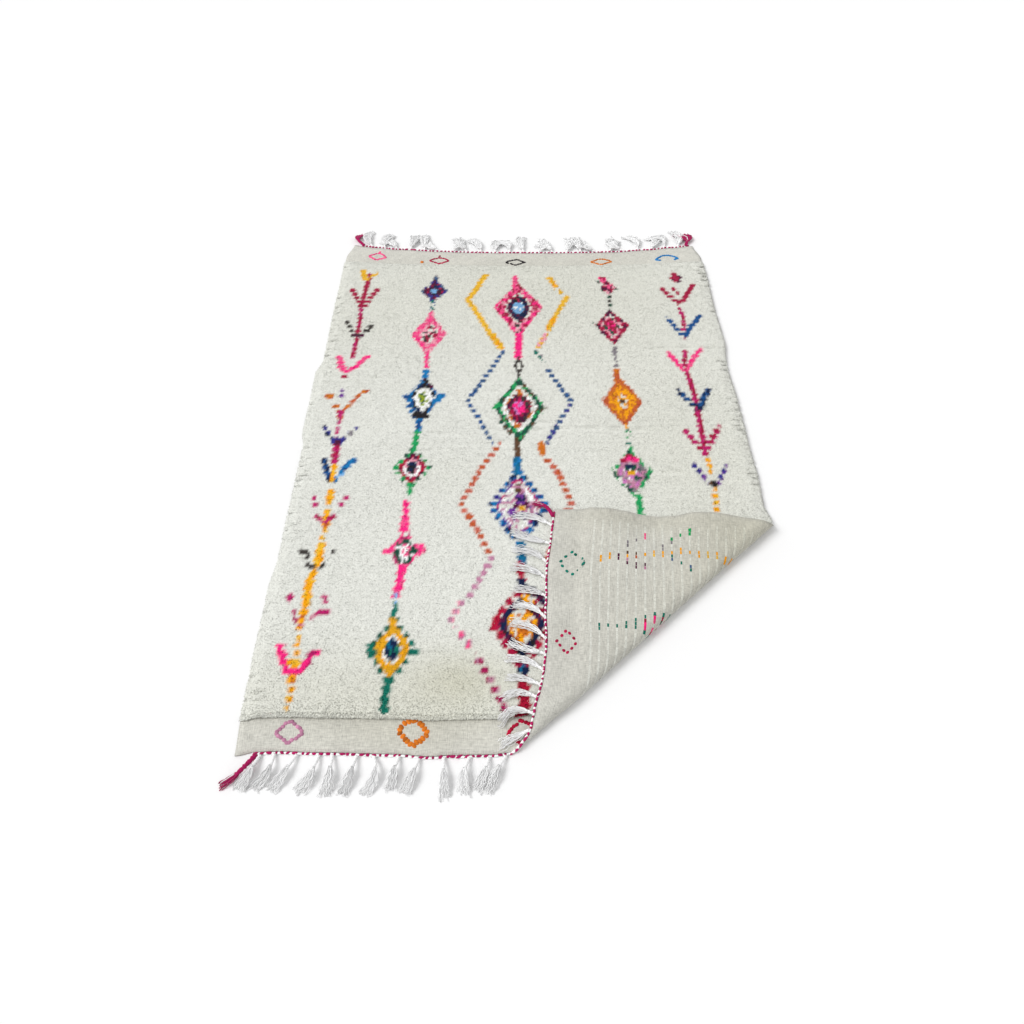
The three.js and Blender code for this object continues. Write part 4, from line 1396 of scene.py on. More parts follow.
@dataclass
class Pile:
    """The knotted pile: a soft body, and on it the locks of each knot, lying to the near hem."""

    cloth: Cloth
    pattern: Pattern
    comb_amount: float = 0.7
    swirl_across: Pair = (143.0, 310.0)
    swirl_along: Pair = (231.0, 97.0)
    swirl_bend: float = 1.7
    swirl_second: float = 0.7
    edge_reach: float = 26.0
    edge_lean: float = 6.0
    crease_width: float = 9.0
    crease_swing: float = 5.0
    crease_length: float = 61.0
    crease_ease: float = 60.0
    crease_breaks: Pair = (23.0, 41.0)
    crease_uneven: float = 0.4
    crack_depth: float = 7.0
    crack_reach: float = 62.0
    crack_pitch: float = 4.6
    crack_bend: float = 3.0
    crack_lengths: Pair = (29.0, 31.0)
    crack_gain: float = 2.4
    crack_start: float = 1.4
    curl_share: Pair = (0.5, 0.9)
    curl_across: float = 700.0
    curl_along: Pair = (131.0, 67.0)
    front_slope: float = 56.0
    front_share: float = 0.6
    # Painted light along the pile's near edge, against shade on its sloping front: gain and reach.
    painted_light_gain: float = 0.09
    front_reach: float = 44.0

    def painted_front_light(self, v: Array) -> Array:
        """Gives the painted light along the pile's near edge, against shade on its sloping front."""
        return 1 + self.painted_light_gain * (1 - smooth((v - self.cloth.near_band) / self.front_reach))

    def eased(self, beyond: Array) -> Array:
        """Gives the share of its height that the pile has, by how far it is past its edge."""
        return mix(self.front_share, 1, np.sqrt(smooth(beyond / self.front_slope)))

    def comb(self, u: Array, v: Array) -> Array:
        """Gives the sideways lie of the pile, as soft swirls left by use.

        Args:
            u: across the cloth.
            v: along it.

        Returns:
            How far the locks' tips lie to the right, in millimetres.
        """
        swirl = np.sin(u / self.swirl_across[0] + self.swirl_bend * np.sin(v / self.swirl_along[0]))
        second = np.sin(v / self.swirl_along[1] - u / self.swirl_across[1])
        outward = smooth(1 - (self.cloth.width - u) / self.edge_reach)
        outward = outward - smooth(1 - u / self.edge_reach)
        return self.comb_amount * (swirl + self.swirl_second * second) + self.edge_lean * outward

    def tall(self, u: Array, v: Array) -> Array:
        """Gives the pile's height, pressed down along old fold lines and cracked at the selvedges.

        Args:
            u: across the cloth.
            v: along it.

        Returns:
            The height over the woven back.
        """
        drop = np.zeros_like(u)
        for row in CREASES.rows():
            way = v - row["v"] - self.crease_swing * np.sin(u / self.crease_length + row["v"])
            start, end = (u - row["left"]) / self.crease_ease, (row["right"] - u) / self.crease_ease
            line = smooth(start) * smooth(end) * np.exp(-((way / self.crease_width) ** 2))
            bent = u / self.crease_breaks[0] + 2 * np.sin(u / self.crease_breaks[1] + row["v"])
            line = line * (1 - self.crease_uneven + self.crease_uneven * np.sin(bent))
            drop = np.maximum(drop, row["depth"] * line)
        edge = np.minimum(u, self.cloth.width - u)
        bend, slant = self.crack_bend * np.sin(v / self.crack_lengths[0]), edge / self.crack_lengths[1]
        wave = np.sin(v / self.crack_pitch + bend + slant)
        curl = np.sin(v / self.curl_along[0] + u / self.curl_across) * np.sin(v / self.curl_along[1])
        curled = smooth(self.curl_share[0] + self.curl_share[1] * curl)
        crack = self.crack_depth * smooth(self.crack_gain * wave - self.crack_start)
        crack = crack * smooth(1 - edge / self.crack_reach)
        return self.cloth.thickness(u, v) - drop - crack * curled


@dataclass
class PileBody(Pile):
    """The mass of the pile under its locks, one skin from selvedge to selvedge."""

    step_across: float = 6.4
    step_along: float = 9.0
    end_gap: float = 2.0
    share: float = 0.93
    uneven: float = 0.35
    foot: float = 3.4
    tone_spread: float = 0.02
    seed: int = 21

    def build(self) -> bpy.types.Object:
        """Makes the skin, with its rim turned down to the weave.

        Returns:
            The piece.
        """
        rng = np.random.default_rng(self.seed)
        start = self.cloth.near_band + self.end_gap
        end = self.cloth.length - self.cloth.far_band - self.end_gap
        across = np.linspace(0, self.cloth.width, round(self.cloth.width / self.step_across) + 1)
        along = np.linspace(start, end, round((end - start) / self.step_along) + 1)
        across, along = np.pad(across, 1, mode="edge"), np.pad(along, 1, mode="edge")
        u, v = np.meshgrid(across, along)
        share = self.share * self.eased(np.minimum(v - start, end - v))
        tall = self.cloth.weave + (self.tall(u, v) - self.cloth.weave) * share
        raised = tall + self.uneven * bell(rng, u.shape)
        raised[[0, -1]] = raised[:, [0, -1]] = self.foot
        colours, _ = self.pattern.colours_at(u.ravel(), v.ravel())
        colours = colours * stains_and_painted_shade(u.ravel(), v.ravel()) * rng.normal(1, self.tone_spread, (u.size, 1))
        # Painted light: the colour is made lighter along the near edge, against the front's shade.
        colours = colours * self.painted_front_light(v.ravel())[:, None]
        index = np.arange(u.size).reshape(u.shape)
        corners = (index[:-1, :-1], index[:-1, 1:], index[1:, 1:], index[1:, :-1])
        points = self.cloth.place(u, v, raised).reshape(-1, 3)
        places = np.stack([u.ravel(), v.ravel()], -1)
        soup = Soup()
        soup.add(points, [np.stack(corners, -1).reshape(-1, 4)], colours, places)
        return soup.build("pile_body")


@dataclass
class PileLocks(Pile):
    """The ends of the pile's locks, many to a knot and drawn a little together.

    A stray is how far a root or a tip lies off its place, and uneven is a share.
    """

    across: int = 4
    along: int = 6
    hidden_margin: float = 60.0
    root_share: float = 0.72
    root_stray: Pair = (0.9, 1.2)
    knot_stray: float = 0.6
    tip_stray: Pair = (1.9, 1.5)
    selvedge_gap: float = 0.5
    end_overlap: float = 3.0
    end_stray: float = 3.0
    lean_uneven: float = 0.5
    tall_uneven: float = 0.09
    width_uneven: float = 0.15
    tuft_half: Pair = (4.7, 6.4)
    plain_tuft: float = 0.035
    dyed_tuft: float = 0.42
    plain_lock: float = 0.045
    dyed_lock: float = 0.25
    plain_shade: float = 0.06
    dyed_shade: float = 0.55
    shade_start: float = 0.5
    shade_ease: float = 0.6
    level_limits: Pair = (0.3, 1.7)
    gather: float = 0.08
    reach: float = 4.6
    overhang: float = 3.0
    width: float = 3.0
    draw_limit: float = 2.2
    pieces: int = 4
    seed: int = 11

    def colours(self, u: Array, v: Array, rng: np.random.Generator) -> Array:
        """Dyes each lock: tufts differ, and the locks between two tufts lie in their shade.

        Args:
            u: the roots' places across.
            v: the roots' places along.
            rng: the seeded draws.

        Returns:
            Linear colours, one row for each lock.
        """
        colours, dyed = self.pattern.colours_at(u, v)
        (*_, tone), aside = self.pattern.tufts_at(u, v)
        by_tuft = (2 * tone - 1) * mix(self.plain_tuft, self.dyed_tuft, dyed)
        by_lock = rng.normal(0, 1, len(u)) * mix(self.plain_lock, self.dyed_lock, dyed)
        outer = np.hypot(*(aside / self.tuft_half).T)
        shade = smooth((outer - self.shade_start) / self.shade_ease)
        shade = shade * mix(self.plain_shade, self.dyed_shade, dyed)
        # The shade between tufts is painted, and so is the light along the near edge of the pile.
        level = (1 + by_tuft + by_lock - shade).clip(*self.level_limits) * self.painted_front_light(v)
        return colours * stains_and_painted_shade(u, v) * level[:, None]

    def cones(self, tip: Array, root: Array, width: Array, turn: Array) -> Array:
        """Lays out each lock as a three-sided cone.

        Args:
            tip: u, v and raised of the tips.
            root: u, v and raised of the roots' middles.
            width: the roots' radii.
            turn: the roots' angles.

        Returns:
            u, v and raised, of each lock's tip and of its three corners.
        """
        parts = [tip]
        for k in range(3):
            angle = turn + 2 * math.pi * k / 3
            aside = np.stack([np.cos(angle), np.sin(angle), np.zeros_like(angle)])
            parts.append(root + width * aside)
        return np.stack(parts, 2)

    def build(self) -> list[bpy.types.Object]:
        """Makes the locks' pieces, each a band of rows.

        Returns:
            The pieces, from the near hem to the far one.
        """
        rng = np.random.default_rng(self.seed)
        cloth = self.cloth
        u, v = KNOTS.places(1)
        v = v - KNOTS.lie
        shown = np.flatnonzero(~cloth.covered(u, v, self.hidden_margin))
        each = self.across * self.along
        knot, order = np.repeat(shown, each), np.tile(np.arange(each), len(shown))
        draw = bell(rng, (8, len(knot)), self.draw_limit)
        by_knot = self.knot_stray * bell(rng, (3, len(u)))[:, knot]
        from_u = ((order % self.across + 0.5) / self.across - 0.5) * KNOTS.column_pitch
        from_v = ((order // self.across + 0.5) / self.along - 0.5) * KNOTS.row_pitch
        root_u = u[knot] + from_u + self.root_stray[0] * draw[0]
        root_u = root_u.clip(self.selvedge_gap, cloth.width - self.selvedge_gap)
        root_v = v[knot] + from_v + self.root_stray[1] * draw[1] + by_knot[0]
        start = cloth.near_band - self.end_overlap
        end = cloth.length - cloth.far_band + self.end_overlap
        strays = self.end_stray * np.abs(draw[3]), self.end_stray * np.abs(draw[4])
        root_v = root_v.clip(start + strays[0], end - strays[1])
        lean = self.comb(root_u, root_v) * (1 + self.lean_uneven * draw[7]) + by_knot[1]
        tip_u = root_u - self.gather * from_u + lean + self.tip_stray[0] * draw[2]
        tip_u = tip_u.clip(-self.overhang, cloth.width + self.overhang)
        tip_v = root_v - self.gather * from_v - self.reach - self.tip_stray[1] * draw[3] - by_knot[2]
        front = cloth.pile_front
        level_v = root_v.clip(cloth.near_band + front, cloth.length - cloth.far_band - front)
        deep = self.tall(root_u, level_v) - cloth.weave
        deep = deep * self.eased(np.minimum(root_v - start, end - root_v))
        tip = np.stack([tip_u, tip_v, cloth.weave + deep * (1.0 + self.tall_uneven * draw[4])])
        root = np.stack([root_u, root_v, cloth.weave + deep * self.root_share])
        width = self.width * (1 + self.width_uneven * draw[5])
        spots = self.cones(tip, root, width, draw[6] * math.pi)
        points = cloth.place(*spots)
        template = np.array([(1, 2, 0), (2, 3, 0), (3, 1, 0)])
        colours = self.colours(root_u, root_v, rng)
        made = []
        for k, part in enumerate(np.array_split(np.arange(len(knot)), self.pieces)):
            soup = Soup()
            corners = template[None] + 4 * np.arange(len(part))[:, None, None]
            places = np.stack([spots[0][part], spots[1][part]], -1).reshape(-1, 2)
            dye = np.repeat(colours[part], 4, axis=0)
            soup.add(points[part].reshape(-1, 3), [corners.reshape(-1, 3)], dye, places)
            made.append(soup.build(f"pile_locks_{k + 1}"))
        return made


@dataclass
class Ground:
    """The woven ground: one closed sheet, plain where it shows at the ends and on the back."""

    cloth: Cloth
    step: float = 13.6
    back_raised: float = 0.9
    front_raised: float = 4.4
    map_gap: float = 60.0
    back_level: float = 0.91

    def build(self) -> bpy.types.Object:
        """Makes the sheet.

        Returns:
            The piece.
        """
        across = np.linspace(0, self.cloth.width, round(self.cloth.width / self.step) + 1)
        along = np.linspace(0, self.cloth.length, round(self.cloth.length / self.step) + 1)
        u, v = (grid.ravel() for grid in np.meshgrid(across, along))
        front = self.cloth.place(u, v, self.front_raised)
        back = self.cloth.place(u, v, self.back_raised)
        columns, rows = len(across), len(along)
        index = np.arange(columns * rows).reshape(rows, columns)
        corners = (index[:-1, :-1], index[:-1, 1:], index[1:, 1:], index[1:, :-1])
        faces = np.stack(corners, -1).reshape(-1, 4)
        rim = np.concatenate([index[0], index[1:, -1], index[-1, -2::-1], index[-2:0:-1, 0]])
        following = np.roll(rim, -1)
        under = columns * rows
        wall = np.stack([rim, rim + under, following + under, following], -1)
        soup = Soup()
        # The front takes the face's stains; the back takes painted shade, darker towards the fold.
        stains_and_shade = np.concatenate([stains_and_painted_shade(u, v), self.back_level * stains_and_painted_shade(u, v, BACK_PAINTED_SHADE)])
        dye = np.array(linear(Dye.WEFT.value)) * stains_and_shade
        places = np.stack([u, v], -1)
        aside = places + [self.cloth.width + self.map_gap, 0]
        points, spots = np.concatenate([front, back]), np.concatenate([places, aside])
        soup.add(points, [faces, faces[:, ::-1] + under, wall], dye, spots)
        return soup.build("woven_ground")


@dataclass
class BackKnots:
    """The backs of the knots, which show as white rows with coloured dots."""

    cloth: Cloth
    pattern: Pattern
    margin: float = 48.0
    margin_swing: Pair = (7.0, 5.0)
    margin_lengths: Pair = (31.0, 57.0)
    half_across: float = 6.1
    half_along: float = 3.5
    level: float = 0.9
    uneven: float = 0.07
    uneven_half: float = 0.1
    ridge: float = 3.6
    base_raised: float = 1.2
    ridge_raised: float = 0.0
    seed: int = 5

    def build(self) -> bpy.types.Object:
        """Makes a hipped ridge for each knot.

        Returns:
            The piece.
        """
        rng = np.random.default_rng(self.seed)
        u, v = KNOTS.places()
        dyes = self.pattern.dyes_at(u, v - KNOTS.lie)
        ragged = self.margin + self.margin_swing[0] * np.sin(v / self.margin_lengths[0])
        ragged = ragged + self.margin_swing[1] * np.sin(v / self.margin_lengths[1] + u)
        inner = np.minimum(u, self.cloth.width - u) > ragged
        u, v, dyes = u[inner], v[inner], dyes[inner]
        a, b, c = self.half_across, self.half_along, self.ridge
        corners = [(-a, -b), (a, -b), (a, b), (-a, b), (-c, 0), (c, 0)]
        heights = [self.base_raised] * 4 + [self.ridge_raised] * 2
        wide = 1 + self.uneven_half * bell(rng, len(u))
        across = np.stack([u + dx for dx, _ in corners], 1)
        along = np.stack([v + dy * wide for _, dy in corners], 1)
        points = self.cloth.place(across, along, np.array(heights)).reshape(-1, 3)
        quads = np.array([(0, 4, 5, 1), (2, 5, 4, 3)])
        ends = np.array([(1, 5, 2), (3, 4, 0)])
        base = len(corners) * np.arange(len(u))[:, None, None]
        faces = [(quads + base).reshape(-1, 4), (ends + base).reshape(-1, 3)]
        level = self.level * (1 + self.uneven * rng.normal(0, 1, (len(u), 1)).clip(-2, 1))
        # The knots' backs take the same painted shade as the woven back.
        colours = level * PALETTE[dyes] * stains_and_painted_shade(u, v, BACK_PAINTED_SHADE)
        soup = Soup()
        places = np.stack([across, along], -1).reshape(-1, 2)
        soup.add(points, faces, np.repeat(colours, len(corners), axis=0), places)
        return soup.build("knot_backs")


class Lie(Enum):
    """What a hem's tassels lie on, and to which side."""

    NEAR_FLOOR = -1
    FAR_FLOOR = 1
    PILE = 0


# Tassels by lean in degrees, length and spread. Tuft is the cord's share of its own tuft.
NEAR_TASSELS = Table("u lean size spread tuft", [
    (49, -42, 98, 8, 0.55), (60, -22, 92, 30, 0), (96, -22, 88, 26, 0),
    (152, -26, 96, 30, 0), (208, -22, 96, 28, 0), (242, -3, 96, 30, 0),
    (302, -14, 92, 28, 0), (346, -6, 90, 26, 0), (408, -9, 80, 28, 0),
    (458, -17, 88, 26, 0), (520, 6, 94, 26, 0), (583, -4, 86, 26, 0),
    (632, -19, 82, 24, 0), (674, -27, 92, 30, 0),
])
FLAP_TASSELS = Table("u lean size spread tuft", [
    (768, -24, 76, 22, 0), (818, -12, 84, 24, 0), (866, 2, 86, 24, 0), (906, 15, 88, 22, 0),
    (954, 20, 100, 26, 0), (1003, 20, 98, 24, 0), (1051, 27, 102, 26, 0),
    (1118, 24, 92, 28, 0), (1186, 16, 88, 28, 0), (1248, 22, 100, 28, 0),
    (1304, 25, 106, 28, 0), (1371, 21, 112, 30, 0), (1438, 20, 118, 28, 0),
    (1474, 44, 76, 12, 0.6),
])
FAR_TUFTS = Table("u lean size spread tuft", [(42, -16, 84, 16, 0.5), (1470, -8, 84, 34, 0.24)])


@dataclass(frozen=True)
class FarRow:
    """The far hem's even row, whose lean and size go up and down around a mean."""

    count: int = 23
    ends: Pair = (84, 1432)
    lean: Pair = (-12, 34)
    size: Pair = (98, 14)
    steps: Pair = (2.3, 1.7)
    spread: float = 24.0

    def tassel(self, k: int) -> dict[str, float]:
        """Gives the sizes of one tassel.

        Args:
            k: its number from the left.

        Returns:
            The values that a table's row has.
        """
        u = mix(self.ends[0], self.ends[1], k / (self.count - 1))
        lean = self.lean[0] + self.lean[1] * math.sin(self.steps[0] * k)
        size = self.size[0] + self.size[1] * math.cos(self.steps[1] * k)
        return {"u": u, "lean": lean, "size": size, "spread": self.spread, "tuft": 0.0}

    def rows(self) -> list[dict[str, float]]:
        """Gives all the tassels of the row."""
        return [self.tassel(k) for k in range(self.count)]


@dataclass(frozen=True)
class Hem:
    """A stretch of hem with its cord and tassels.

    The bow is how far tassels curve to the side, on average and from one to the next. The
    hook is how far beside its line a tassel leaves the cord, and the arch how high it rises.
    """

    name: str
    start: float
    end: float
    lie: Lie
    rows: list[dict[str, float]]
    bow: Pair
    hook: float
    curl: float
    neck: float
    open: float
    thread: float
    arch: float


NEAR_ROWS, FLAP_ROWS = NEAR_TASSELS.rows(), FLAP_TASSELS.rows()
FAR_ROWS = FarRow().rows() + FAR_TUFTS.rows()
STRETCHES = [
    Hem("near", 44, 684, Lie.NEAR_FLOOR, NEAR_ROWS, (7.0, 5.0), 3.0, 2.6, 0.36, 0.9, 1.5, 11.0),
    Hem("flap", 685, 1488, Lie.PILE, FLAP_ROWS, (-9.0, 6.0), 0.0, 1.9, 0.14, 0.8, 1.25, 2.0),
    Hem("far", 32, 1482, Lie.FAR_FLOOR, FAR_ROWS, (0.0, 14.0), 0.0, 4.6, 0.14, 1.7, 2.3, 9.0),
]


@dataclass
class Edging:
    """The twined cord along a hem: white yarn, wrapped at every turn by magenta yarn."""

    cloth: Cloth
    gap: float = 4.6
    raised: float = 3.2
    waver: Pair = (0.4, 3.7)
    turn: float = 16.5
    core_radius: float = 2.9
    core_swell: float = 0.6
    steps_a_turn: int = 6
    bead_radius: float = 3.5
    bead_half: float = 6.2
    bead_slant: float = 1.5
    bead_slants: Pair = (0.4, 0.8)
    bead_blunt: float = 1.06
    bead_shift: float = 0.11
    bead_uneven: Pair = (0.3, 0.1)
    bead_limit: float = 1.5
    bead_inward: float = 0.4
    bead_raised: float = 1.4
    bead_steps: int = 6
    tone_uneven: float = 0.1
    map_gap: float = 60.0
    map_side: float = 3.0
    sides: int = 7
    seed: int = 7

    def build(self, hem: Hem) -> bpy.types.Object:
        """Makes the cord.

        Args:
            hem: its hem.

        Returns:
            The piece.
        """
        rng = np.random.default_rng(self.seed + round(hem.start))
        turns = round((hem.end - hem.start) / self.turn)
        far = hem.lie is Lie.FAR_FLOOR
        edge, side = (self.cloth.length, 1) if far else (0.0, -1)
        soup = Soup()
        steps = turns * self.steps_a_turn
        u = np.linspace(hem.start, hem.end, steps)
        phase = 2 * math.pi * np.linspace(0, turns, steps)
        away = edge + side * self.gap + self.waver[0] * np.sin(phase / self.waver[1])
        path = self.cloth.place(u, away, self.raised)[None]
        radius = self.core_radius + self.core_swell * np.cos(phase)
        points, faces = tubes(path, radius[None], self.sides)
        around = np.tile(np.arange(self.sides), steps) * self.map_side
        places = np.stack([np.repeat(u, self.sides), around], -1)
        soup.add(points, faces, np.array(linear(Dye.COTTON.value)), places)
        middle = np.arange(turns) + 0.5 + rng.normal(0, self.bead_shift, turns)
        middle = hem.start + middle * self.turn
        along = np.linspace(-1, 1, self.bead_steps)[None]
        stretch = self.bead_uneven[0] * bell(rng, (turns, 1), self.bead_limit)
        length = self.bead_half * (1 + stretch)
        bead_u = middle[:, None] + along * length
        bead_v = edge + side * (self.gap - self.bead_inward)
        bead_v = bead_v + self.bead_slant * along * rng.normal(*self.bead_slants, (turns, 1))
        radii = self.bead_radius * np.sqrt(self.bead_blunt - along**2)
        radii = radii * rng.normal(1, self.bead_uneven[1], (turns, 1))
        top = self.raised + (self.bead_raised if hem.lie is not Lie.PILE else -self.bead_raised)
        points, faces = tubes(self.cloth.place(bead_u, bead_v, top), radii, self.sides)
        tone = paint(Dye.CORD, turns, rng, self.tone_uneven)
        tone = tone.repeat(self.sides * self.bead_steps, axis=0)
        places = np.stack([bead_u, bead_v + self.map_gap], -1).repeat(self.sides, axis=1)
        soup.add(points, faces, tone, places.reshape(-1, 2))
        return soup.build(f"edging_{hem.name}")


@dataclass
class Fringe:
    """Tassels of warp ends: a twisted neck that opens into fine crinkled threads.

    Uneven values are shares from one thread to the next, and strays are millimetres.
    """

    cloth: Cloth
    cord_width: float = 8.5
    cord_height: float = 6.4
    over_pile: float = 3.4
    drop_reach: float = 30.0
    hook_reach: float = 34.0
    sink: float = 3.0
    threads: int = 20
    thread_steps: int = 12
    thread_waves: float = 3.2
    bunch: float = 6.5
    ply_radius: float = 3.1
    tuft_ply_radius: float = 4.6
    tuft_thread: float = 1.4
    tuft_curl: float = 0.3
    tuft_dyed: float = 0.94
    tuft_uneven: float = 0.12
    # The brush's threads are painted darker than the neck's cotton: painted shade among threads.
    brush_painted_shade: float = 0.93
    brush_uneven: float = 0.1
    brush_start: float = 0.85
    size_uneven: float = 0.06
    curl_uneven: float = 0.4
    thread_uneven: float = 0.12
    thread_taper: float = 0.3
    thread_stray: float = 2.4
    stack: float = 2.4
    stack_settle: float = 0.5
    thread_sides: int = 3
    twist_mm: float = 17.0
    neck_steps: int = 13
    neck_overlap: float = 0.05
    neck_taper: float = 0.2
    neck_lift: float = 1.5
    ply_apart: Pair = (0.75, 0.5)
    ply_sides: int = 5
    map_gap: float = 400.0
    seed: int = 3

    def rest(self, row: dict[str, float], hem: Hem, away: Array, offset: Array) -> Array:
        """Places the foot of a tassel's points on what it lies on.

        Args:
            row: the tassel's sizes.
            hem: its hem.
            away: from the cord.
            offset: to the tassel's side.

        Returns:
            Points on the floor, or just over the pile.
        """
        turn = math.radians(row["lean"])
        outer = np.array(-self.cord_width)
        if hem.lie is Lie.PILE:
            root = self.cloth.place(np.array(row["u"]), outer, 0.0)
            way = np.array([-math.cos(turn), math.sin(turn)])
            across = np.array([-math.sin(turn), -math.cos(turn)])
        else:
            edge = outer if hem.lie is Lie.NEAR_FLOOR else self.cloth.length - outer
            root = self.cloth.lay_flat(np.array(row["u"]), edge)
            way = np.array([math.sin(turn), hem.lie.value * math.cos(turn)])
            across = np.array([math.cos(turn), -hem.lie.value * math.sin(turn)])
        spot = root[:2] + away[..., None] * way + offset[..., None] * across
        height = np.zeros_like(away)
        if hem.lie is Lie.PILE:
            rest = self.cloth.lower_top(spot[..., 0], spot[..., 1]) + self.over_pile
            height = mix(root[2] - self.cord_height, rest, smooth(away / self.drop_reach))
        height = height + hem.arch * np.sin(math.pi * np.clip(away / row["size"], 0, 1))
        return np.concatenate([spot, height[..., None]], -1)

    def curve(self, row: dict[str, float], hem: Hem, bend: float, away: Array) -> Array:
        """Gives how far a tassel's middle runs beside its line.

        Args:
            row: the tassel's sizes.
            hem: its hem.
            bend: how far it bows to the side.
            away: from the cord.

        Returns:
            The distances to the side.
        """
        hooked = hem.hook * (1 - smooth(away / self.hook_reach))
        return bend * np.sin(math.pi * np.clip(away / row["size"], 0, 1)) + hooked

    def neck(self, soup: Soup, row: dict[str, float], hem: Hem, bend: float) -> None:
        """Adds the two twisted plies of a neck, or of a cord's tuft.

        Args:
            soup: the piece.
            row: the tassel's sizes.
            hem: its hem.
            bend: how far it bows to the side.
        """
        share = row["tuft"] or hem.neck
        plies = self.tuft_ply_radius if row["tuft"] else self.ply_radius
        t = np.linspace(0, 1, self.neck_steps)[None]
        away = mix(-self.sink, row["size"] * (share + self.neck_overlap), t) + np.zeros((2, 1))
        angle = 2 * math.pi * away / self.twist_mm + np.array([[0.0], [math.pi]])
        offset = self.curve(row, hem, bend, away) + self.ply_apart[0] * plies * np.cos(angle)
        path = self.rest(row, hem, away, offset)
        path[..., 2] += self.neck_lift * plies + self.ply_apart[1] * plies * np.sin(angle)
        radius = plies * (1 - self.neck_taper * t) + np.zeros_like(angle)
        points, faces = tubes(path, radius, self.ply_sides)
        tone = np.array(linear((Dye.CORD if row["tuft"] else Dye.COTTON).value))
        places = np.stack([away + self.map_gap, offset + row["u"]], -1)
        soup.add(points, faces, tone, places.repeat(self.ply_sides, axis=1).reshape(-1, 2))

    def brush(
        self, soup: Soup, row: dict[str, float], hem: Hem, bend: float, rng: np.random.Generator
    ) -> None:
        """Adds the fine threads of a tassel.

        Args:
            soup: the piece.
            row: the tassel's sizes.
            hem: its hem.
            bend: how far it bows to the side.
            rng: the seeded draws.
        """
        share = row["tuft"] or hem.neck
        number = self.threads
        t = np.linspace(0, 1, self.thread_steps)[None]
        draw = bell(rng, (7, number, 1))
        order = ((np.arange(number) + 0.5) / number - 0.5)[:, None]
        end = row["size"] * (1.0 + self.size_uneven * draw[0])
        away = mix(row["size"] * share * self.brush_start, end, t)
        opened = np.sqrt(np.clip((away / row["size"] - share) / (1 - share), 0, 1))
        fan = mix(self.bunch, self.bunch + row["spread"] * hem.open, opened) * order
        waves = 2 * math.pi * (self.thread_waves * t + draw[2])
        curl = hem.curl * (self.tuft_curl if row["tuft"] else 1)
        crinkle = curl * (1 + self.curl_uneven * draw[1]) * np.sin(waves) * opened
        offset = fan + crinkle + self.thread_stray * draw[3] * opened
        offset = offset + self.curve(row, hem, bend, away)
        path = self.rest(row, hem, away, offset)
        stack = np.abs(draw[4]) * self.stack * (1 - self.stack_settle * t)
        path[..., 2] += hem.thread + (stack + self.stack * (1 - opened))
        radius = hem.thread * (1 - self.thread_taper * t) * (1 + self.thread_uneven * draw[5])
        radius = radius * (self.tuft_thread if row["tuft"] else 1)
        sides = self.thread_sides
        points, faces = tubes(path, radius, sides)
        # The brush's cotton is painted a little darker than the neck's, as shade among the threads.
        tones_and_shade = paint(Dye.COTTON, number, rng, self.brush_uneven) * self.brush_painted_shade
        if row["tuft"]:
            dyed = paint(Dye.CORD, number, rng, self.tuft_uneven)
            tones_and_shade = np.where(rng.random((number, 1)) < self.tuft_dyed, dyed, tones_and_shade)
        places = np.stack([away, offset + row["u"]], -1).repeat(sides, axis=1).reshape(-1, 2)
        soup.add(points, faces, tones_and_shade.repeat(sides * self.thread_steps, axis=0), places)

    def build(self, hem: Hem) -> bpy.types.Object:
        """Makes a hem's tassels.

        Args:
            hem: the hem.

        Returns:
            The piece.
        """
        rng = np.random.default_rng(self.seed + len(hem.rows))
        soup = Soup()
        for row in hem.rows:
            bend = float(rng.normal(*hem.bow))
            self.neck(soup, row, hem, bend)
            self.brush(soup, row, hem, bend, rng)
        return soup.build(f"tassels_{hem.name}")


@dataclass(frozen=True)
class Diamond:
    """A small stitched lozenge of a woven end, in centimetres on the cloth."""

    u: float
    v: float
    half_across: float
    half_along: float
    dye: Dye
    bold: float = 1.0
    rounded: float = 0.1
    spike: float = 0.0
    arc: Pair = (0.0, 1.0)


HEM_DIAMONDS = [
    Diamond(12.8, 4.9, 3.6, 3.0, Dye.MAUVE, 1.5, 0.0),
    Diamond(44.2, 5.5, 3.7, 3.4, Dye.ORANGE, 2.3, 0.6),
    Diamond(71.7, 4.9, 3.4, 3.1, Dye.RED, 1.5, 0.2),
    Diamond(104.2, 5.3, 3.8, 2.8, Dye.CRIMSON, 1.3),
    Diamond(130.4, 6.6, 4.1, 3.4, Dye.TEAL, 1.4, 0.4),
    Diamond(13.0, 213.8, 3.7, 2.2, Dye.PINK, 1.3, 0.6, 0.5),
    Diamond(39.9, 212.9, 3.9, 2.3, Dye.CRIMSON, 1.3, 0.6, 0.6),
    Diamond(32.6, 211.4, 0.3, 0.3, Dye.ORANGE),
    Diamond(72.2, 212.6, 4.2, 2.4, Dye.BLACK, 1.4, 0.2),
    Diamond(108.6, 212.6, 4.3, 2.4, Dye.ORANGE, 1.4, 0.3),
    Diamond(136.2, 212.6, 4.4, 2.5, Dye.AZURE, 1.4, 0.5, 0.0, (0.14, 0.86)),
]


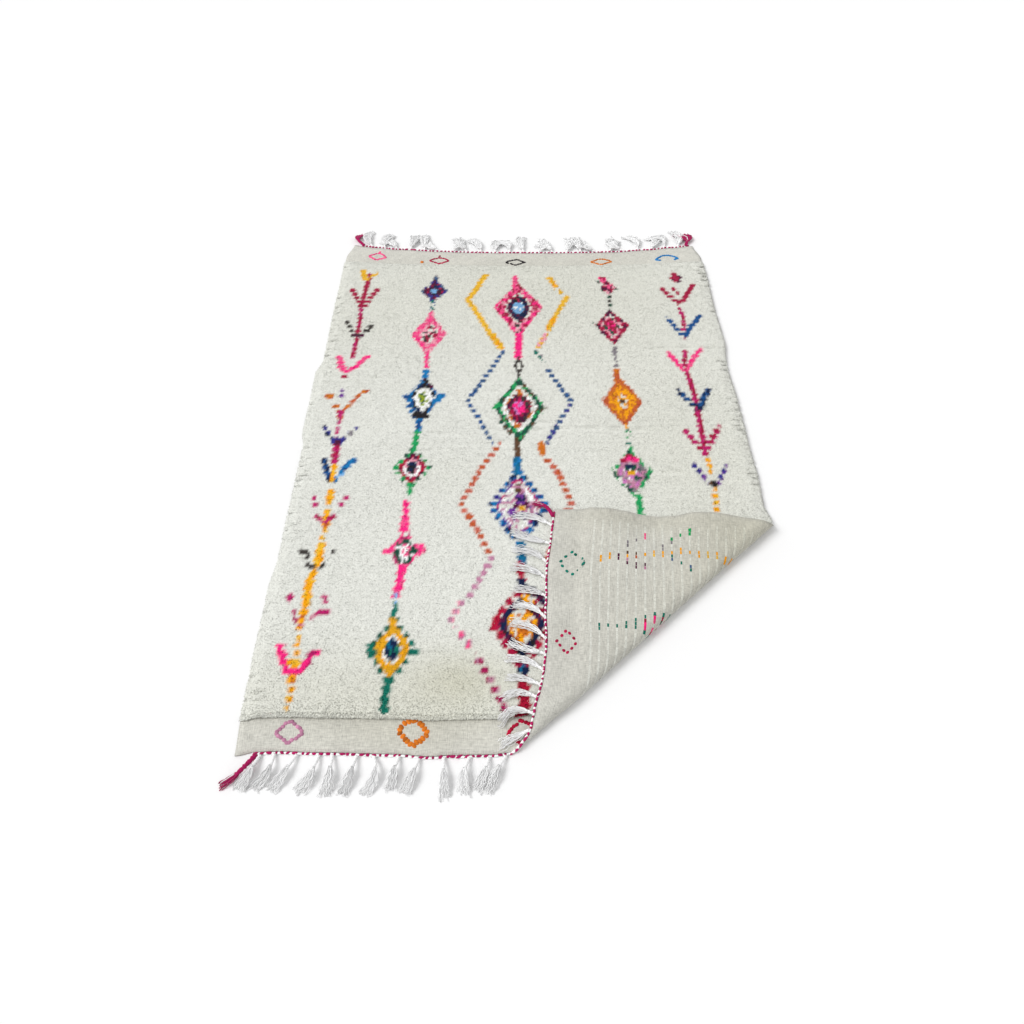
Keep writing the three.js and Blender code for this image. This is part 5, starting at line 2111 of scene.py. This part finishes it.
@dataclass
class HemStitches:
    """The stitched lozenges: long stitches on the front, dots on the back."""

    cloth: Cloth
    stitches: int = 20
    half_long: float = 6.2
    half_wide: float = 3.8
    dot_size: Pair = (6.2, 5.0)
    front_raised: Pair = (4.0, 7.0)
    back_raised: Pair = (1.2, -0.4)
    stray: float = 1.1
    tone_uneven: float = 0.16
    round_start: float = 0.4
    round_foot: float = 0.2
    corners: int = 8
    shoulder: Pair = (0.8, 0.75)
    seed: int = 9

    def pads(
        self, soup: Soup, spots: Array, way: Array, size: Pair, raised: Pair, tone: Array
    ) -> None:
        """Adds low rounded pads.

        Args:
            soup: the piece.
            spots: u and v of their centres.
            way: their directions on the cloth.
            size: half length and half width.
            raised: of the foot and of the crown.
            tone: colours, one row for each.
        """
        count = self.corners
        k = np.arange(count)
        angles = 2 * math.pi * k / count
        shoulder = (self.shoulder[0], mix(raised[0], raised[1], self.shoulder[1]))
        rings = [(1.0, raised[0]), shoulder, (0.0, raised[1])]
        across = np.stack([way[:, 1], -way[:, 0]], -1)
        u, v, heights = [], [], []
        for scale, height in rings:
            for angle in angles if scale else angles[:1]:
                long = scale * size[0] * math.cos(angle)
                wide = scale * size[1] * math.sin(angle)
                spot = spots + long * way + wide * across
                u.append(spot[:, 0])
                v.append(spot[:, 1])
                heights.append(np.full(len(spots), height))
        points = self.cloth.place(np.stack(u, 1), np.stack(v, 1), np.stack(heights, 1))
        after, crown = (k + 1) % count, 2 * count
        sides = np.stack([k, after, after + count, k + count], -1)
        top = np.stack([k + count, after + count, np.full(count, crown)], -1)
        if raised[1] > raised[0]:
            sides, top = sides[:, ::-1], top[:, ::-1]
        base = (crown + 1) * np.arange(len(spots))[:, None, None]
        faces = [(sides + base).reshape(-1, 4), (top + base).reshape(-1, 3)]
        places = np.stack([np.stack(u, 1), np.stack(v, 1)], -1).reshape(-1, 2)
        soup.add(points.reshape(-1, 3), faces, tone.repeat(crown + 1, axis=0), places)

    def build(self) -> bpy.types.Object:
        """Makes all the stitches of both ends.

        Returns:
            The piece.
        """
        rng = np.random.default_rng(self.seed)
        soup = Soup()
        for diamond in HEM_DIAMONDS:
            share = (np.arange(self.stitches) + 0.5) / self.stitches
            share = mix(diamond.arc[0], diamond.arc[1], share)
            corner = np.array([(0.0, -1.0), (1.0, 0.0), (0.0, 1.0), (-1.0, 0.0), (0.0, -1.0)])
            at = share * 4
            k = np.minimum(at.astype(int), 3)
            size = np.array([diamond.half_across, diamond.half_along]) * CM
            turn = 2 * math.pi * share - math.pi / 2
            circle = np.stack([np.cos(turn), np.sin(turn)], -1)
            spots = mix(corner[k], corner[k + 1], (at - k)[:, None])
            shoulders = smooth(2 * circle[:, 1] + self.round_start)[:, None]
            spots = mix(spots, circle, diamond.rounded * mix(self.round_foot, 1, shoulders))
            spike = np.array([[0.0, 1.0], [0.0, 1.0 + diamond.spike]])
            extra = 2 * (diamond.spike > 0)
            spots = np.concatenate([spots, spike[:extra]])
            k = np.concatenate([k, np.zeros(extra, int)])
            spots = spots * size + rng.normal(0, self.stray, spots.shape)
            spots = spots + np.array([diamond.u, diamond.v]) * CM
            way = unit((corner[k + 1] - corner[k]) * size)
            tone = paint(diamond.dye, len(spots), rng, self.tone_uneven)
            stitch = self.half_long, self.half_wide * diamond.bold
            self.pads(soup, spots, way, stitch, self.front_raised, tone)
            dots = slice(None, None, 2)
            self.pads(soup, spots[dots], way[dots], self.dot_size, self.back_raised, tone[dots])
        return soup.build("hem_stitches")


@dataclass
class Studio:
    """Floor, light and camera."""

    eye: tuple[float, float, float] = (-0.0614, -1.7694, 1.8366)
    pitch: float = 52.07
    yaw: float = 0.378
    lens: float = 26.08
    sensor: float = 36.0
    floor_half: float = 30.0
    floor_drop: float = 0.0006
    floor_roughness: float = 0.9
    floor_specular: float = 0.1
    sky: float = 0.66
    sun: float = 1.8
    sun_height: float = 48.0
    sun_side: float = -98.0
    sun_size: float = 30.0

    def add_floor(self) -> bpy.types.Object:
        """Makes the plain pale floor, of matt paper.

        Returns:
            The floor, which is stage and not part of the rug.
        """
        half = self.floor_half
        mesh = bpy.data.meshes.new("floor")
        corners = [(-half, -half), (half, -half), (half, half), (-half, half)]
        mesh.from_pydata([(x, y, -self.floor_drop) for x, y in corners], [], [(0, 1, 2, 3)])
        floor = bpy.data.objects.new("floor", mesh)
        bpy.context.scene.collection.objects.link(floor)
        paper = bpy.data.materials.new("paper_sweep")
        paper.use_nodes = True
        surface = paper.node_tree.nodes["Principled BSDF"]
        surface.inputs["Base Color"].default_value = (*linear("#f7f7f7"), 1.0)
        surface.inputs["Roughness"].default_value = self.floor_roughness
        surface.inputs["Specular IOR Level"].default_value = self.floor_specular
        mesh.materials.append(paper)
        floor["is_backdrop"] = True
        return floor

    def add_light(self) -> None:
        """Makes a soft key light from the far left and an even sky."""
        world = bpy.data.worlds.new("soft_box")
        world.use_nodes = True
        background = world.node_tree.nodes["Background"]
        background.inputs["Color"].default_value = (1.0, 1.0, 1.0, 1.0)
        background.inputs["Strength"].default_value = self.sky
        bpy.context.scene.world = world
        light = bpy.data.lights.new("key", "SUN")
        light.energy = self.sun
        light.angle = math.radians(self.sun_size)
        key = bpy.data.objects.new("key", light)
        tilt = math.radians(90 - self.sun_height)
        key.rotation_euler = (-tilt, 0.0, math.radians(-self.sun_side))
        bpy.context.scene.collection.objects.link(key)

    def add_camera(self) -> None:
        """Makes the camera at the photograph's viewing angle."""
        data = bpy.data.cameras.new("camera")
        data.lens = self.lens
        data.sensor_width = self.sensor
        camera = bpy.data.objects.new("camera", data)
        camera.location = self.eye
        camera.rotation_euler = (math.radians(90 - self.pitch), 0.0, math.radians(-self.yaw))
        bpy.context.scene.collection.objects.link(camera)
        bpy.context.scene.camera = camera

    def build(self) -> None:
        """Sets the stage."""
        bpy.context.scene.view_settings.view_transform = "Standard"
        self.add_floor()
        self.add_light()
        self.add_camera()


def dress(piece: bpy.types.Object, finish: Finish, slot: Slot, replaced: str) -> bpy.types.Object:
    """Gives a piece its finish and its place in the frame, and reports it.

    Args:
        piece: the mesh object.
        finish: its material.
        slot: the record's slot, not used.
        replaced: the node that it stands for.

    Returns:
        The piece.
    """
    made = bpy.data.materials.get(finish.name) or finish.material()
    piece.data.materials.append(made)
    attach(piece, BODY)
    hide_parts(replaced)
    count = sum(len(face.vertices) - 2 for face in piece.data.polygons)
    log.info("%s: %d triangles, %s", piece.name, count, finish.name)
    return piece


def main() -> None:
    """Builds the rug, its edgings and fringes, and the stage."""
    logging.basicConfig(level=logging.INFO, format="%(message)s")
    Studio().build()
    cloth = Cloth()
    pattern = Pattern()
    ground = dress(Ground(cloth).build(), WOVEN_WOOL, Slot.PILE, "rug")
    pile = [PileBody(cloth, pattern).build(), *PileLocks(cloth, pattern).build()]
    with_ground = [dress(piece, CUT_WOOL, Slot.PILE, "rug") for piece in pile]
    with_ground.append(dress(BackKnots(cloth, pattern).build(), CUT_WOOL, Slot.PILE, "rug"))
    with_ground.append(dress(HemStitches(cloth).build(), CUT_WOOL, Slot.PILE, "rug"))
    edging, fringe = Edging(cloth), Fringe(cloth)
    for hem in STRETCHES:
        for piece in (edging.build(hem), fringe.build(hem)):
            with_ground.append(dress(piece, PLIED_COTTON, Slot.YARN, f"fringe_{hem.name}"))
    boxes = {"cad": cad_box, "scene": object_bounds()}
    sizes = {name: [list(corner) for corner in box] for name, box in boxes.items()}


if __name__ == "__main__":
    main()
